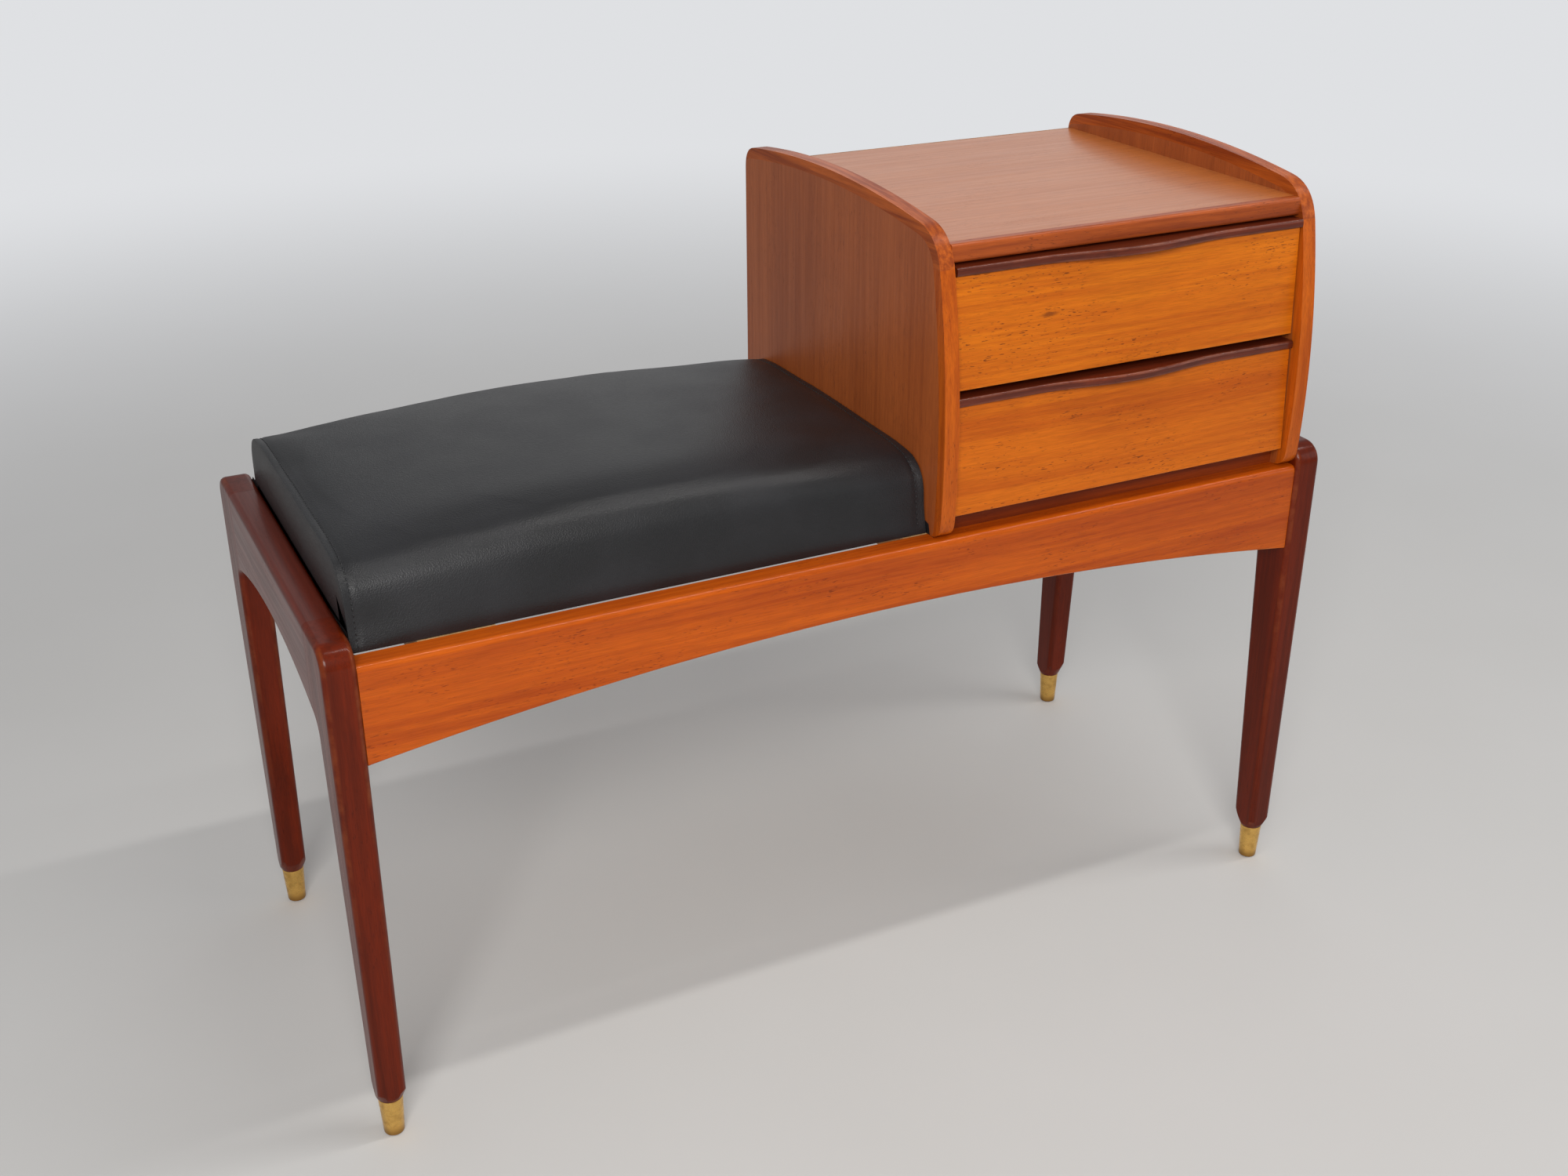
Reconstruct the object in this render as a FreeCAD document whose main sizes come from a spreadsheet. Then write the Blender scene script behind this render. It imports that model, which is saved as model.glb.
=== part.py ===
import FreeCAD, Part
import Sketcher
import math
import os

# Telephone bench: a padded seat beside a two drawer cabinet on an arched teak frame.
# Millimetres. X runs along the bench, Y from front to back and Z up from the floor, with the
# origin on the floor under the middle of the frame.

# Driving sizes

SIZES = {
    "overall_length": 912,
    "overall_depth": 385,
    "frame_height": 448,
    "leg_width": 26,
    "leg_foot_width": 23,
    "leg_foot_depth": 25,
    "leg_head_depth": 56.5,
    "leg_knee_depth": 43.4,
    "leg_top_round": 18,
    "knee_drop": 79,
    "knee_round": 15,
    "toe_height": 54,
    "rail_depth": 56,
    "arris_bevel": 2.2,
    "ferrule_height": 36,
    "ferrule_top_width": 20.5,
    "ferrule_foot_width": 16.5,
    "ferrule_wall": 1.5,
    "slip_tenon_length": 36,
    "slip_tenon_height": 44,
    "slip_tenon_thickness": 10,
    "apron_drop": 18,
    "apron_setback": 3.5,
    "apron_thickness": 20,
    "apron_end_height": 82,
    "apron_arch_rise": 31,
    "apron_arris": 5,
    "tenon_length": 18,
    "tenon_thickness": 10,
    "tenon_height": 50,
    "tenon_shoulder": 12,
    "joint_gap": 0.1,
    "bearer_width": 60,
    "bearer_height": 22,
    "bearer_tenon_length": 8,
    "bearer_tenon_height": 12,
    "bearer_tenon_width": 28,
    "bearer_end_gap": 50,
    "block_leg": 32,
    "block_height": 30,
    "seat_board_thickness": 12,
    "seat_board_inset": 6,
    "soft_gap": 0.3,
    "cushion_lift": 2,
    "cushion_height": 69,
    "cushion_setback": 24.5,
    "cushion_draw_in": 3,
    "cushion_crown": 13,
    "cushion_cross_crown": 4,
    "cushion_edge_round": 27,
    "cabinet_width": 376,
    "side_thickness": 13.5,
    "side_front_setback": 2,
    "side_fullest_height": 65,
    "side_front_radius": 750,
    "side_height": 267,
    "side_crest_offset": 20,
    "side_top_radius": 1108,
    "side_back_setback": 14.5,
    "side_front_round": 36,
    "side_back_round": 18,
    "side_foot_round": 11,
    "side_bevel": 1.8,
    "lipping_width": 10,
    "lipping_joint_height": 224,
    "top_height": 242,
    "top_thickness": 15.5,
    "top_front_setback": 24.5,
    "top_lipping_width": 9,
    "top_arris": 3,
    "back_thickness": 4,
    "back_inset": 2,
    "bottom_thickness": 12,
    "bottom_rail_height": 15,
    "bottom_rail_setback": 22.5,
    "bottom_rail_width": 18,
    "drawer_front_height": 93.5,
    "drawer_front_thickness": 15,
    "drawer_front_setback": 19.5,
    "drawer_front_slope": 0.055,
    "drawer_front_arris": 1.5,
    "drawer_pitch": 106.5,
    "drawer_lift": 17.5,
    "drawer_gap": 1.2,
    "drawer_back_gap": 17,
    "drawer_side_thickness": 10,
    "drawer_side_height": 80,
    "drawer_side_lift": 4,
    "drawer_back_thickness": 9,
    "drawer_bottom_thickness": 4,
    "bottom_groove_lift": 6,
    "bottom_groove_depth": 4,
    "pull_thickness": 7.5,
    "pull_reach": 3,
    "pull_swell": 9,
    "pull_swell_width": 190,
    "pull_nose_round": 2.5,
    "runner_height": 12,
    "runner_front_gap": 33,
    "runner_groove_depth": 5,
    "runner_gap": 0.4,
    "screw_head_width": 8,
    "screw_head_height": 3.5,
    "screw_shank_width": 4,
    "screw_length": 28,
    "screw_setback": 82.5,
}

# Places worked out from the driving sizes

PLACES = {
    "outer_x": "overall_length / 2",
    "leg_line_x": "outer_x - leg_width / 2",
    "span_x": "outer_x - leg_width",
    "outer_y": "overall_depth / 2",
    "foot_y": "outer_y - leg_foot_depth / 2",
    "joint_y": "outer_y - leg_head_depth",
    "knee_y": "outer_y - leg_knee_depth",
    "knee_height": "frame_height - knee_drop",
    "arch_rise": "knee_drop - rail_depth",
    "arch_radius": "(knee_y * knee_y + arch_rise * arch_rise) / (2 * arch_rise)",
    "arch_centre_z": "frame_height - rail_depth - arch_radius",
    "arch_joint_z": "arch_centre_z + sqrt(arch_radius * arch_radius - joint_y * joint_y)",
    "seat_z": "frame_height - apron_drop",
    "apron_y": "outer_y - apron_setback",
    "apron_inner_y": "apron_y - apron_thickness",
    "apron_low_z": "seat_z - apron_end_height",
    "apron_arch_radius": "(span_x * span_x + apron_arch_rise * apron_arch_rise) / (2 * apron_arch_rise)",
    "tenon_top_z": "seat_z - tenon_shoulder",
    "tenon_inner_y": "apron_y - apron_thickness / 2 - tenon_thickness / 2",
    "spigot_z": "ferrule_wall + joint_gap",
    "bore_r": "ferrule_foot_width / 2 - ferrule_wall",
    "spigot_r": "bore_r - joint_gap",
    "toe_r": "sqrt(leg_foot_width * leg_foot_width + leg_foot_depth * leg_foot_depth) / 2 + 1",
    "slip_tenon_low_z": "(arch_joint_z + frame_height - slip_tenon_height) / 2",
    "cabinet_left_x": "span_x - cabinet_width",
    "cabinet_mid_x": "span_x - cabinet_width / 2",
    "bay_width": "cabinet_width - 2 * side_thickness",
    "side_base_z": "seat_z",
    "side_fullest_depth": "outer_y - side_front_setback",
    "side_back_depth": "outer_y - side_back_setback",
    "top_front_depth": "outer_y - top_front_setback",
    "bottom_rail_depth": "outer_y - bottom_rail_setback",
    "drawer_front_depth": "outer_y - drawer_front_setback",
    "cushion_half": "outer_y - cushion_setback",
    "screw_spread": "outer_y - screw_setback",
    "front_centre_y": "side_front_radius - side_fullest_depth",
    "front_centre_z": "side_base_z + side_fullest_height",
    "top_centre_y": "side_crest_offset",
    "top_centre_z": "side_base_z + side_height - side_top_radius",
    "centres_run": "top_centre_y - front_centre_y",
    "centres_rise": "top_centre_z - front_centre_z",
    "centres_apart": "sqrt(centres_run * centres_run + centres_rise * centres_rise)",
    "core_front_radius": "side_front_radius - lipping_width",
    "core_top_radius": "side_top_radius - lipping_width",
    "outer_along": "centres_apart / 2 + (side_front_radius * side_front_radius"
                   " - side_top_radius * side_top_radius) / (2 * centres_apart)",
    "outer_aside": "sqrt(side_front_radius * side_front_radius - outer_along * outer_along)",
    "outer_corner_y": "front_centre_y + (outer_along * centres_run"
                      " + outer_aside * centres_rise) / centres_apart",
    "outer_corner_z": "front_centre_z + (outer_along * centres_rise"
                      " - outer_aside * centres_run) / centres_apart",
    "core_along": "centres_apart / 2 + (core_front_radius * core_front_radius"
                  " - core_top_radius * core_top_radius) / (2 * centres_apart)",
    "core_aside": "sqrt(core_front_radius * core_front_radius - core_along * core_along)",
    "core_corner_y": "front_centre_y + (core_along * centres_run"
                     " + core_aside * centres_rise) / centres_apart",
    "core_corner_z": "front_centre_z + (core_along * centres_rise"
                     " - core_aside * centres_run) / centres_apart",
    "top_z": "side_base_z + top_height",
    "back_inner_y": "side_back_depth - back_inset - back_thickness",
    "seat_left_x": "-1 * span_x",
    "bearer_left_x": "seat_left_x + bearer_end_gap + bearer_width / 2",
    "bearer_right_x": "span_x - bearer_end_gap - bearer_width / 2",
    "bearer_mid_x": "cabinet_left_x + side_thickness / 2",
    "drawer_width": "bay_width - 2 * drawer_gap",
    "drawer_side_y": "drawer_front_depth - drawer_front_thickness",
    "drawer_back_depth": "back_inner_y - drawer_back_gap",
    "runner_length": "drawer_back_depth + drawer_side_y - runner_front_gap",
    "runner_centre": "drawer_side_lift + drawer_side_height / 2",
    "runner_width": "drawer_gap + runner_groove_depth - runner_gap",
    "floor_low": "drawer_side_lift + bottom_groove_lift",
    "screw_low_z": "seat_z - bearer_height",
}


def make_sheet(document):
    """The driving sizes as plain numbers and the places as formulas, one named cell each."""
    cells = document.addObject("Spreadsheet::Sheet", "Sizes")
    rows = [(name, str(value)) for name, value in SIZES.items()]
    rows += [(name, "=" + formula) for name, formula in PLACES.items()]
    for row, (name, content) in enumerate(rows, start=1):
        cells.set(f"A{row}", name)
        cells.set(f"B{row}", content)
        cells.setAlias(f"B{row}", name)
    document.recompute()
    return cells


doc = FreeCAD.newDocument("telephone_bench")
sheet = make_sheet(doc)
workings = doc.addObject("Spreadsheet::Sheet", "Workings")
pieces = {}


def spelled_out(formula):
    """The formula with every name of a size or place pointing at its cell in the sheet."""
    words = []
    word = ""
    for letter in formula + " ":
        if letter.isalnum() or letter in "_.":
            word += letter
            continue
        words.append(f"Sizes.{word}" if word in SIZES or word in PLACES else word)
        words.append(letter)
        word = ""
    return "".join(words).strip()


def amount(formula):
    """The number that a formula of named sizes gives."""
    workings.set("A1", f"={spelled_out(formula)}")
    workings.recompute()
    return float(workings.get("A1"))


def bind(thing, prop, formula):
    thing.setExpression(prop, spelled_out(formula))


def new_body(label):
    body = doc.addObject("PartDesign::Body", label)
    body.Label = label
    pieces[label] = body
    return body


def attach(sketch, body, plane, offset, across="0", up="0"):
    """Lays a sketch on one of its body's planes, moved along and across that plane."""
    base = next(f for f in body.Origin.OriginFeatures if f.Role == plane)
    sketch.AttachmentSupport = [(base, "")]
    sketch.MapMode = "FlatFace"
    sketch.AttachmentOffset = FreeCAD.Placement(FreeCAD.Vector(0, 0, 0), FreeCAD.Rotation())
    for axis, formula in (("x", across), ("y", up), ("z", offset)):
        bind(sketch, f"AttachmentOffset.Base.{axis}", formula)


def arc_between(start, finish, radius, centre_on_left):
    """Minor arc from start to finish, and whether it runs anticlockwise."""
    chord = finish - start
    height = math.sqrt(radius * radius - chord.Length ** 2 / 4)
    left = FreeCAD.Vector(-chord.y, chord.x, 0) / chord.Length
    centre = (start + finish) / 2 + left * (height if centre_on_left else -height)
    angles = [math.atan2(p.y - centre.y, p.x - centre.x) for p in (start, finish)]
    if not centre_on_left:
        angles.reverse()
    circle = Part.Circle(centre, FreeCAD.Vector(0, 0, 1), radius)
    return Part.ArcOfCircle(circle, *angles)


def hold_point(sketch, geometry, end, across, up):
    for kind, formula in (("DistanceX", across), ("DistanceY", up)):
        index = sketch.addConstraint(
            Sketcher.Constraint(kind, -1, 1, geometry, end, amount(formula)))
        bind(sketch, f"Constraints[{index}]", formula)


def draw_loop(sketch, corners):
    """Closed outline. A corner is (across, up), or (across, up, radius, "full" or "hollow") where
    an arc leads on from it: full swells out of the solid and hollow is cut into it."""
    points = [FreeCAD.Vector(amount(c[0]), amount(c[1]), 0) for c in corners]
    following = points[1:] + points[:1]
    turn = sum(p.x * q.y - q.x * p.y for p, q in zip(points, following))
    shapes, ends = [], []
    for corner, start, finish in zip(corners, points, following):
        if len(corner) == 2:
            shapes.append(Part.LineSegment(start, finish))
            ends.append((1, 2))
            continue
        centre_on_left = (corner[3] == "full") == (turn > 0)
        shapes.append(arc_between(start, finish, amount(corner[2]), centre_on_left))
        ends.append((1, 2) if centre_on_left else (2, 1))
    first = sketch.GeometryCount
    sketch.addGeometry(shapes, False)
    for place, corner in enumerate(corners):
        after = (place + 1) % len(corners)
        sketch.addConstraint(Sketcher.Constraint(
            "Coincident", first + place, ends[place][1], first + after, ends[after][0]))
        hold_point(sketch, first + place, ends[place][0], corner[0], corner[1])
        if len(corner) == 4:
            index = sketch.addConstraint(
                Sketcher.Constraint("Radius", first + place, amount(corner[2])))
            bind(sketch, f"Constraints[{index}]", corner[2])


def outline(body, plane, loops, offset="0", across="0", up="0"):
    sketch = body.newObject("Sketcher::SketchObject", f"{body.Label}_outline")
    attach(sketch, body, plane, offset, across, up)
    for corners in loops:
        draw_loop(sketch, corners)
    return sketch


def circles(body, plane, centres, width, offset="0"):
    """Round holes or pegs of one width, at (across, up) centres."""
    sketch = body.newObject("Sketcher::SketchObject", f"{body.Label}_circles")
    attach(sketch, body, plane, offset)
    for across, up in centres:
        centre = FreeCAD.Vector(amount(across), amount(up), 0)
        circle = Part.Circle(centre, FreeCAD.Vector(0, 0, 1), amount(width) / 2)
        index = sketch.addGeometry(circle, False)
        hold_point(sketch, index, 3, across, up)
        size = sketch.addConstraint(Sketcher.Constraint("Diameter", index, amount(width)))
        bind(sketch, f"Constraints[{size}]", width)
    return sketch


def rectangle(low_across, low_up, high_across, high_up):
    return [(low_across, low_up), (high_across, low_up),
            (high_across, high_up), (low_across, high_up)]


def pad(body, sketch, length, side="One side", backwards=False):
    feature = body.newObject("PartDesign::Pad", f"{body.Label}_pad")
    feature.Profile = sketch
    feature.SideType = side
    feature.Reversed = backwards
    feature.Length = amount(length)
    bind(feature, "Length", length)
    doc.recompute()
    return feature


def pocket(body, sketch, length, side="One side", backwards=False):
    """Cuts a sketch into the body, and stops if nothing was cut."""
    before = body.Shape.Volume
    feature = body.newObject("PartDesign::Pocket", f"{body.Label}_pocket")
    feature.Profile = sketch
    feature.SideType = side
    feature.Reversed = backwards
    feature.Length = amount(length)
    bind(feature, "Length", length)
    doc.recompute()
    if body.Shape.Volume > before - 0.01:
        raise RuntimeError(f"a pocket of {body.Label} cuts nothing")
    return feature


def turn(body, sketch, kind):
    """Turned work about the sketch's own upright axis."""
    feature = body.newObject(f"PartDesign::{kind}", f"{body.Label}_turned")
    feature.Profile = sketch
    feature.ReferenceAxis = (sketch, ["V_Axis"])
    feature.Angle = 360
    doc.recompute()
    return feature


def soften(body, size, chosen, kind="Fillet"):
    """Rounds or bevels every edge of the body that the chosen test picks."""
    edges = [f"Edge{i}" for i, edge in enumerate(body.Shape.Edges, start=1)
             if chosen(edge.BoundBox)]
    if not edges:
        raise RuntimeError(f"no edge to soften on {body.Label}")
    base = body.Tip
    feature = body.newObject(f"PartDesign::{kind}", f"{body.Label}_{kind.lower()}")
    feature.Base = (base, edges)
    bind(feature, "Radius" if kind == "Fillet" else "Size", size)
    doc.recompute()
    return feature


def block(label, low, extent, keep=True):
    """Plain board from its low corner and its extents, each a formula."""
    box = doc.addObject("Part::Box", label)
    box.Label = label
    for prop, formula in zip(("Length", "Width", "Height"), extent):
        bind(box, prop, formula)
    for axis, formula in zip("xyz", low):
        bind(box, f"Placement.Base.{axis}", formula)
    if keep:
        pieces[label] = box
    return box


# Legs: solid teak posts, square and tapered, with the head widened into the end arch

def leg(label, sx, sy):
    body = new_body(label)
    side = outline(body, "YZ_Plane", [[
        (f"{sy} * outer_y", "spigot_z"),
        (f"{sy} * outer_y", "frame_height"),
        (f"{sy} * joint_y", "frame_height"),
        (f"{sy} * joint_y", "arch_joint_z", "arch_radius", "hollow"),
        (f"{sy} * knee_y", "knee_height"),
        (f"{sy} * (outer_y - leg_foot_depth)", "spigot_z"),
    ]], offset=f"{sx} * leg_line_x")
    pad(body, side, "leg_width", side="Symmetric")
    knee = amount("knee_height")
    soften(body, "knee_round", lambda box: box.ZLength < 0.01 and abs(box.ZMin - knee) < 0.01
           and box.YLength < 0.01)
    top, outer = amount("frame_height"), abs(amount("outer_y"))
    soften(body, "leg_top_round", lambda box: box.ZLength < 0.01 and abs(box.ZMin - top) < 0.01
           and box.YLength < 0.01 and abs(abs(box.YMin) - outer) < 0.01)
    tapers = [[
        (f"{sx} * leg_line_x + {way} * leg_width / 2", "apron_low_z"),
        (f"{sx} * leg_line_x + {way} * leg_foot_width / 2", "spigot_z"),
        (f"{sx} * leg_line_x + {way} * leg_width / 2", "spigot_z"),
    ] for way in ("1", "-1")]
    pocket(body, outline(body, "XZ_Plane", tapers), "2 * overall_depth", side="Symmetric")
    joint = amount("joint_y")
    foot = amount("spigot_z")
    line = amount(f"{sx} * leg_line_x")
    soften(body, "arris_bevel", lambda box: abs((box.XMin + box.XMax) / 2 - line) > 5
           and box.XLength < 3 and not (box.YLength < 0.01 and abs(abs(box.YMin) - joint) < 0.01)
           and not (box.ZLength < 0.01 and abs(box.ZMin - foot) < 0.01), kind="Chamfer")
    toe = outline(body, "XZ_Plane", [[
        ("spigot_r", "spigot_z"),
        ("spigot_r", "ferrule_height"),
        ("ferrule_top_width / 2", "ferrule_height"),
        ("toe_r", "toe_height"),
        ("2 * toe_r", "toe_height"),
        ("2 * toe_r", "spigot_z"),
    ]], offset=f"-1 * {sy} * foot_y", across=f"{sx} * leg_line_x")
    turn(body, toe, "Groove")
    inner_face = f"{sx} * span_x"
    mortise = outline(body, "YZ_Plane", [rectangle(
        f"{sy} * (tenon_inner_y - joint_gap)", "tenon_top_z - tenon_height - joint_gap",
        f"{sy} * (tenon_inner_y + tenon_thickness + joint_gap)", "tenon_top_z + joint_gap",
    )], offset=inner_face)
    pocket(body, mortise, "tenon_length + joint_gap", backwards=(sx == "1"))
    slip_mortise(body, sx, sy, backwards=(sy == "-1"))
    return body


def slip_mortise(body, sx, sy, backwards):
    """Half of a slip tenon's slot, sunk from the joint between leg head and end rail."""
    slot = outline(body, "XZ_Plane", [rectangle(
        f"{sx} * leg_line_x - slip_tenon_thickness / 2 - joint_gap",
        "slip_tenon_low_z - joint_gap",
        f"{sx} * leg_line_x + slip_tenon_thickness / 2 + joint_gap",
        "slip_tenon_low_z + slip_tenon_height + joint_gap",
    )], offset=f"-1 * {sy} * joint_y")
    pocket(body, slot, "slip_tenon_length / 2 + joint_gap", backwards=backwards)


def ferrule(label, sx, sy):
    """Tapered brass cup, bored straight and pressed over the turned end of a leg."""
    body = doc.addObject("PartDesign::Body", label)
    cup = outline(body, "XZ_Plane", [[
        ("0", "0"),
        ("ferrule_foot_width / 2", "0"),
        ("ferrule_top_width / 2", "ferrule_height"),
        ("bore_r", "ferrule_height"),
        ("bore_r", "ferrule_wall"),
        ("0", "ferrule_wall"),
    ]])
    turn(body, cup, "Revolution")
    bind(body, "Placement.Base.x", f"{sx} * leg_line_x")
    bind(body, "Placement.Base.y", f"{sy} * foot_y")
    return body


SIDES = {"left": "-1", "right": "1"}
ENDS = {"front": "-1", "rear": "1"}

for end_name, end_sign in ENDS.items():
    for side_name, side_sign in SIDES.items():
        leg(f"{end_name}_{side_name}_leg", side_sign, end_sign)


def gather(label, members):
    """Identical small pieces kept together as one node of separate solids."""
    group = doc.addObject("Part::Compound", label)
    group.Label = label
    group.Links = members
    pieces[label] = group
    return group


gather("ferrules", [
    ferrule(f"{end_name}_{side_name}_ferrule", side_sign, end_sign)
    for end_name, end_sign in ENDS.items()
    for side_name, side_sign in SIDES.items()
])


# End rails: arched between the leg heads and flush with them, joined to them by slip tenons

def end_rail(label, sx):
    body = new_body(label)
    arch = outline(body, "YZ_Plane", [[
        ("-1 * joint_y", "arch_joint_z", "arch_radius", "hollow"),
        ("joint_y", "arch_joint_z"),
        ("joint_y", "frame_height"),
        ("-1 * joint_y", "frame_height"),
    ]], offset=f"{sx} * leg_line_x")
    pad(body, arch, "leg_width", side="Symmetric")
    length = 2 * amount("joint_y")
    soften(body, "arris_bevel", lambda box: box.YLength > length - 1, kind="Chamfer")
    for sy in ENDS.values():
        slip_mortise(body, sx, sy, backwards=(sy == "1"))
    return body


for side_name, side_sign in SIDES.items():
    end_rail(f"{side_name}_end_rail", side_sign)


gather("rail_slip_tenons", [
    block(f"{side_name}_{end_name}_slip_tenon",
          (f"{side_sign} * leg_line_x - slip_tenon_thickness / 2",
           f"{end_sign} * joint_y - slip_tenon_length / 2", "slip_tenon_low_z"),
          ("slip_tenon_thickness", "slip_tenon_length", "slip_tenon_height"), keep=False)
    for side_name, side_sign in SIDES.items()
    for end_name, end_sign in ENDS.items()
])


# Aprons: long arched boards tenoned into the legs, with a rounded top arris

BEARERS = {"left": "bearer_left_x", "middle": "bearer_mid_x", "right": "bearer_right_x"}


def apron(label, sy):
    body = new_body(label)
    face = f"{sy} * apron_y"
    board = outline(body, "XZ_Plane", [[
        ("-1 * span_x", "apron_low_z", "apron_arch_radius", "hollow"),
        ("span_x", "apron_low_z"),
        ("span_x", "seat_z"),
        ("-1 * span_x", "seat_z"),
    ]], offset=f"-1 * {face}")
    pad(body, board, "apron_thickness", backwards=(sy == "-1"))
    length, top, depth = 2 * amount("span_x"), amount("seat_z"), amount(face)
    soften(body, "apron_arris", lambda box: box.XLength > length - 1
           and abs(box.ZMin - top) < 0.01 and abs(box.YMin - depth) < 0.01)
    for sx in SIDES.values():
        tenon = outline(body, "XZ_Plane", [rectangle(
            f"{sx} * span_x", "tenon_top_z - tenon_height",
            f"{sx} * (span_x + tenon_length)", "tenon_top_z",
        )], offset=f"-1 * {sy} * tenon_inner_y")
        pad(body, tenon, "tenon_thickness", backwards=(sy == "1"))
    housings = outline(body, "XZ_Plane", [rectangle(
        f"{middle} - bearer_tenon_width / 2 - joint_gap",
        "seat_z - (bearer_height + bearer_tenon_height) / 2 - joint_gap",
        f"{middle} + bearer_tenon_width / 2 + joint_gap",
        "seat_z - (bearer_height - bearer_tenon_height) / 2 + joint_gap",
    ) for middle in BEARERS.values()], offset=f"-1 * {sy} * apron_inner_y")
    pocket(body, housings, "bearer_tenon_length + joint_gap", backwards=(sy == "-1"))
    return body


for end_name, end_sign in ENDS.items():
    apron(f"{end_name}_apron", end_sign)


# Bearers: cross battens housed in the aprons, carrying the seat and the cabinet


# The middle bearer holds the seat on its left and the cabinet on its right
SEAT_SCREW_LINES = ("bearer_left_x", "bearer_mid_x - bearer_width / 3")
CABINET_SCREW_LINES = ("bearer_mid_x + bearer_width / 3", "bearer_right_x")


def screw_spots(lines):
    return [(line, spot) for line in lines for spot in ("-1 * screw_spread", "screw_spread")]


def bearer(label, middle):
    body = new_body(label)
    bar = outline(body, "XZ_Plane", [rectangle(
        f"{middle} - bearer_width / 2", "seat_z - bearer_height",
        f"{middle} + bearer_width / 2", "seat_z")])
    pad(body, bar, "2 * apron_inner_y", side="Symmetric")
    tongue = outline(body, "XZ_Plane", [rectangle(
        f"{middle} - bearer_tenon_width / 2", "seat_z - (bearer_height + bearer_tenon_height) / 2",
        f"{middle} + bearer_tenon_width / 2", "seat_z - (bearer_height - bearer_tenon_height) / 2")])
    pad(body, tongue, "2 * (apron_inner_y + bearer_tenon_length)", side="Symmetric")
    for width, depth in (("screw_shank_width", "bearer_height"),
                         ("screw_head_width", "screw_head_height")):
        lines = [line for line in SEAT_SCREW_LINES + CABINET_SCREW_LINES if middle in line]
        holes = circles(body, "XY_Plane", screw_spots(lines), f"{width} + 2 * joint_gap",
                        offset="screw_low_z")
        pocket(body, holes, depth, backwards=True)
    return body


for bearer_name, bearer_place in BEARERS.items():
    bearer(f"{bearer_name}_bearer", bearer_place)


def corner_block(label, sx, sy):
    """Triangular block glued into the corner of apron and leg."""
    wedge = doc.addObject("PartDesign::Body", label)
    corner_x, corner_y = f"{sx} * span_x", f"{sy} * apron_inner_y"
    triangle = outline(wedge, "XY_Plane", [[
        (corner_x, corner_y),
        (f"{corner_x} - {sx} * block_leg", corner_y),
        (corner_x, f"{corner_y} - {sy} * block_leg"),
    ]], offset="tenon_top_z - block_height")
    pad(wedge, triangle, "block_height")
    return wedge


gather("corner_blocks", [
    corner_block(f"{end_name}_{side_name}_block", side_sign, end_sign)
    for end_name, end_sign in ENDS.items()
    for side_name, side_sign in SIDES.items()
])


def screw(label, x_formula, y_formula):
    """Flat headed wood screw driven upwards from under a bearer."""
    head = doc.addObject("Part::Cylinder", f"{label}_head")
    bind(head, "Radius", "screw_head_width / 2")
    bind(head, "Height", "screw_head_height")
    shank = doc.addObject("Part::Cylinder", f"{label}_shank")
    bind(shank, "Radius", "screw_shank_width / 2")
    bind(shank, "Height", "screw_length")
    whole = doc.addObject("Part::Fuse", label)
    whole.Base = head
    whole.Tool = shank
    for part_of_screw in (head, shank):
        bind(part_of_screw, "Placement.Base.x", x_formula)
        bind(part_of_screw, "Placement.Base.y", y_formula)
        bind(part_of_screw, "Placement.Base.z", "screw_low_z")
    return whole


for screw_set, screw_lines in (("seat_screws", SEAT_SCREW_LINES),
                               ("cabinet_screws", CABINET_SCREW_LINES)):
    gather(screw_set, [screw(f"{screw_set}_{number}", *spot)
                       for number, spot in enumerate(screw_spots(screw_lines))])


# Seat: a plywood board under a foam pad with a sewn cover

seat_board = new_body("seat_board")
board_outline = outline(seat_board, "XY_Plane", [rectangle(
    "seat_left_x + seat_board_inset", "-1 * (cushion_half - seat_board_inset)",
    "cabinet_left_x - seat_board_inset", "cushion_half - seat_board_inset",
)], offset="seat_z")
pad(seat_board, board_outline, "seat_board_thickness")
pilot_holes = circles(seat_board, "XY_Plane", screw_spots(SEAT_SCREW_LINES),
                      "screw_shank_width + 2 * joint_gap", offset="seat_z")
pocket(seat_board, pilot_holes, "screw_length - bearer_height + joint_gap", backwards=True)


def cushion_section(x, half_depth, top, low):
    """Slice across the seat pad: flat underneath, upright sides, rounded edges, crowned top."""
    edge = amount("cushion_edge_round")
    cross = amount("cushion_cross_crown")
    across = half_depth - edge
    crown_radius = (half_depth * half_depth + cross * cross) / (2 * cross)
    crown_centre = top - crown_radius
    edge_z = crown_centre + math.sqrt((crown_radius - edge) ** 2 - across * across)
    reach = crown_radius / (crown_radius - edge)
    meet_y, meet_z = across * reach, crown_centre + (edge_z - crown_centre) * reach
    middle = math.atan2(edge_z - crown_centre, across) / 2
    edge_mid = (across + edge * math.cos(middle), edge_z + edge * math.sin(middle))

    def point(y, z):
        return FreeCAD.Vector(x, y, z)

    return Part.Wire([
        Part.LineSegment(point(-half_depth, low), point(-half_depth, edge_z)).toShape(),
        Part.Arc(point(-half_depth, edge_z), point(-edge_mid[0], edge_mid[1]),
                 point(-meet_y, meet_z)).toShape(),
        Part.Arc(point(-meet_y, meet_z), point(0, top), point(meet_y, meet_z)).toShape(),
        Part.Arc(point(meet_y, meet_z), point(*edge_mid), point(half_depth, edge_z)).toShape(),
        Part.LineSegment(point(half_depth, edge_z), point(half_depth, low)).toShape(),
        Part.LineSegment(point(half_depth, low), point(-half_depth, low)).toShape(),
    ])


CUSHION_SLICES = 13


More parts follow.
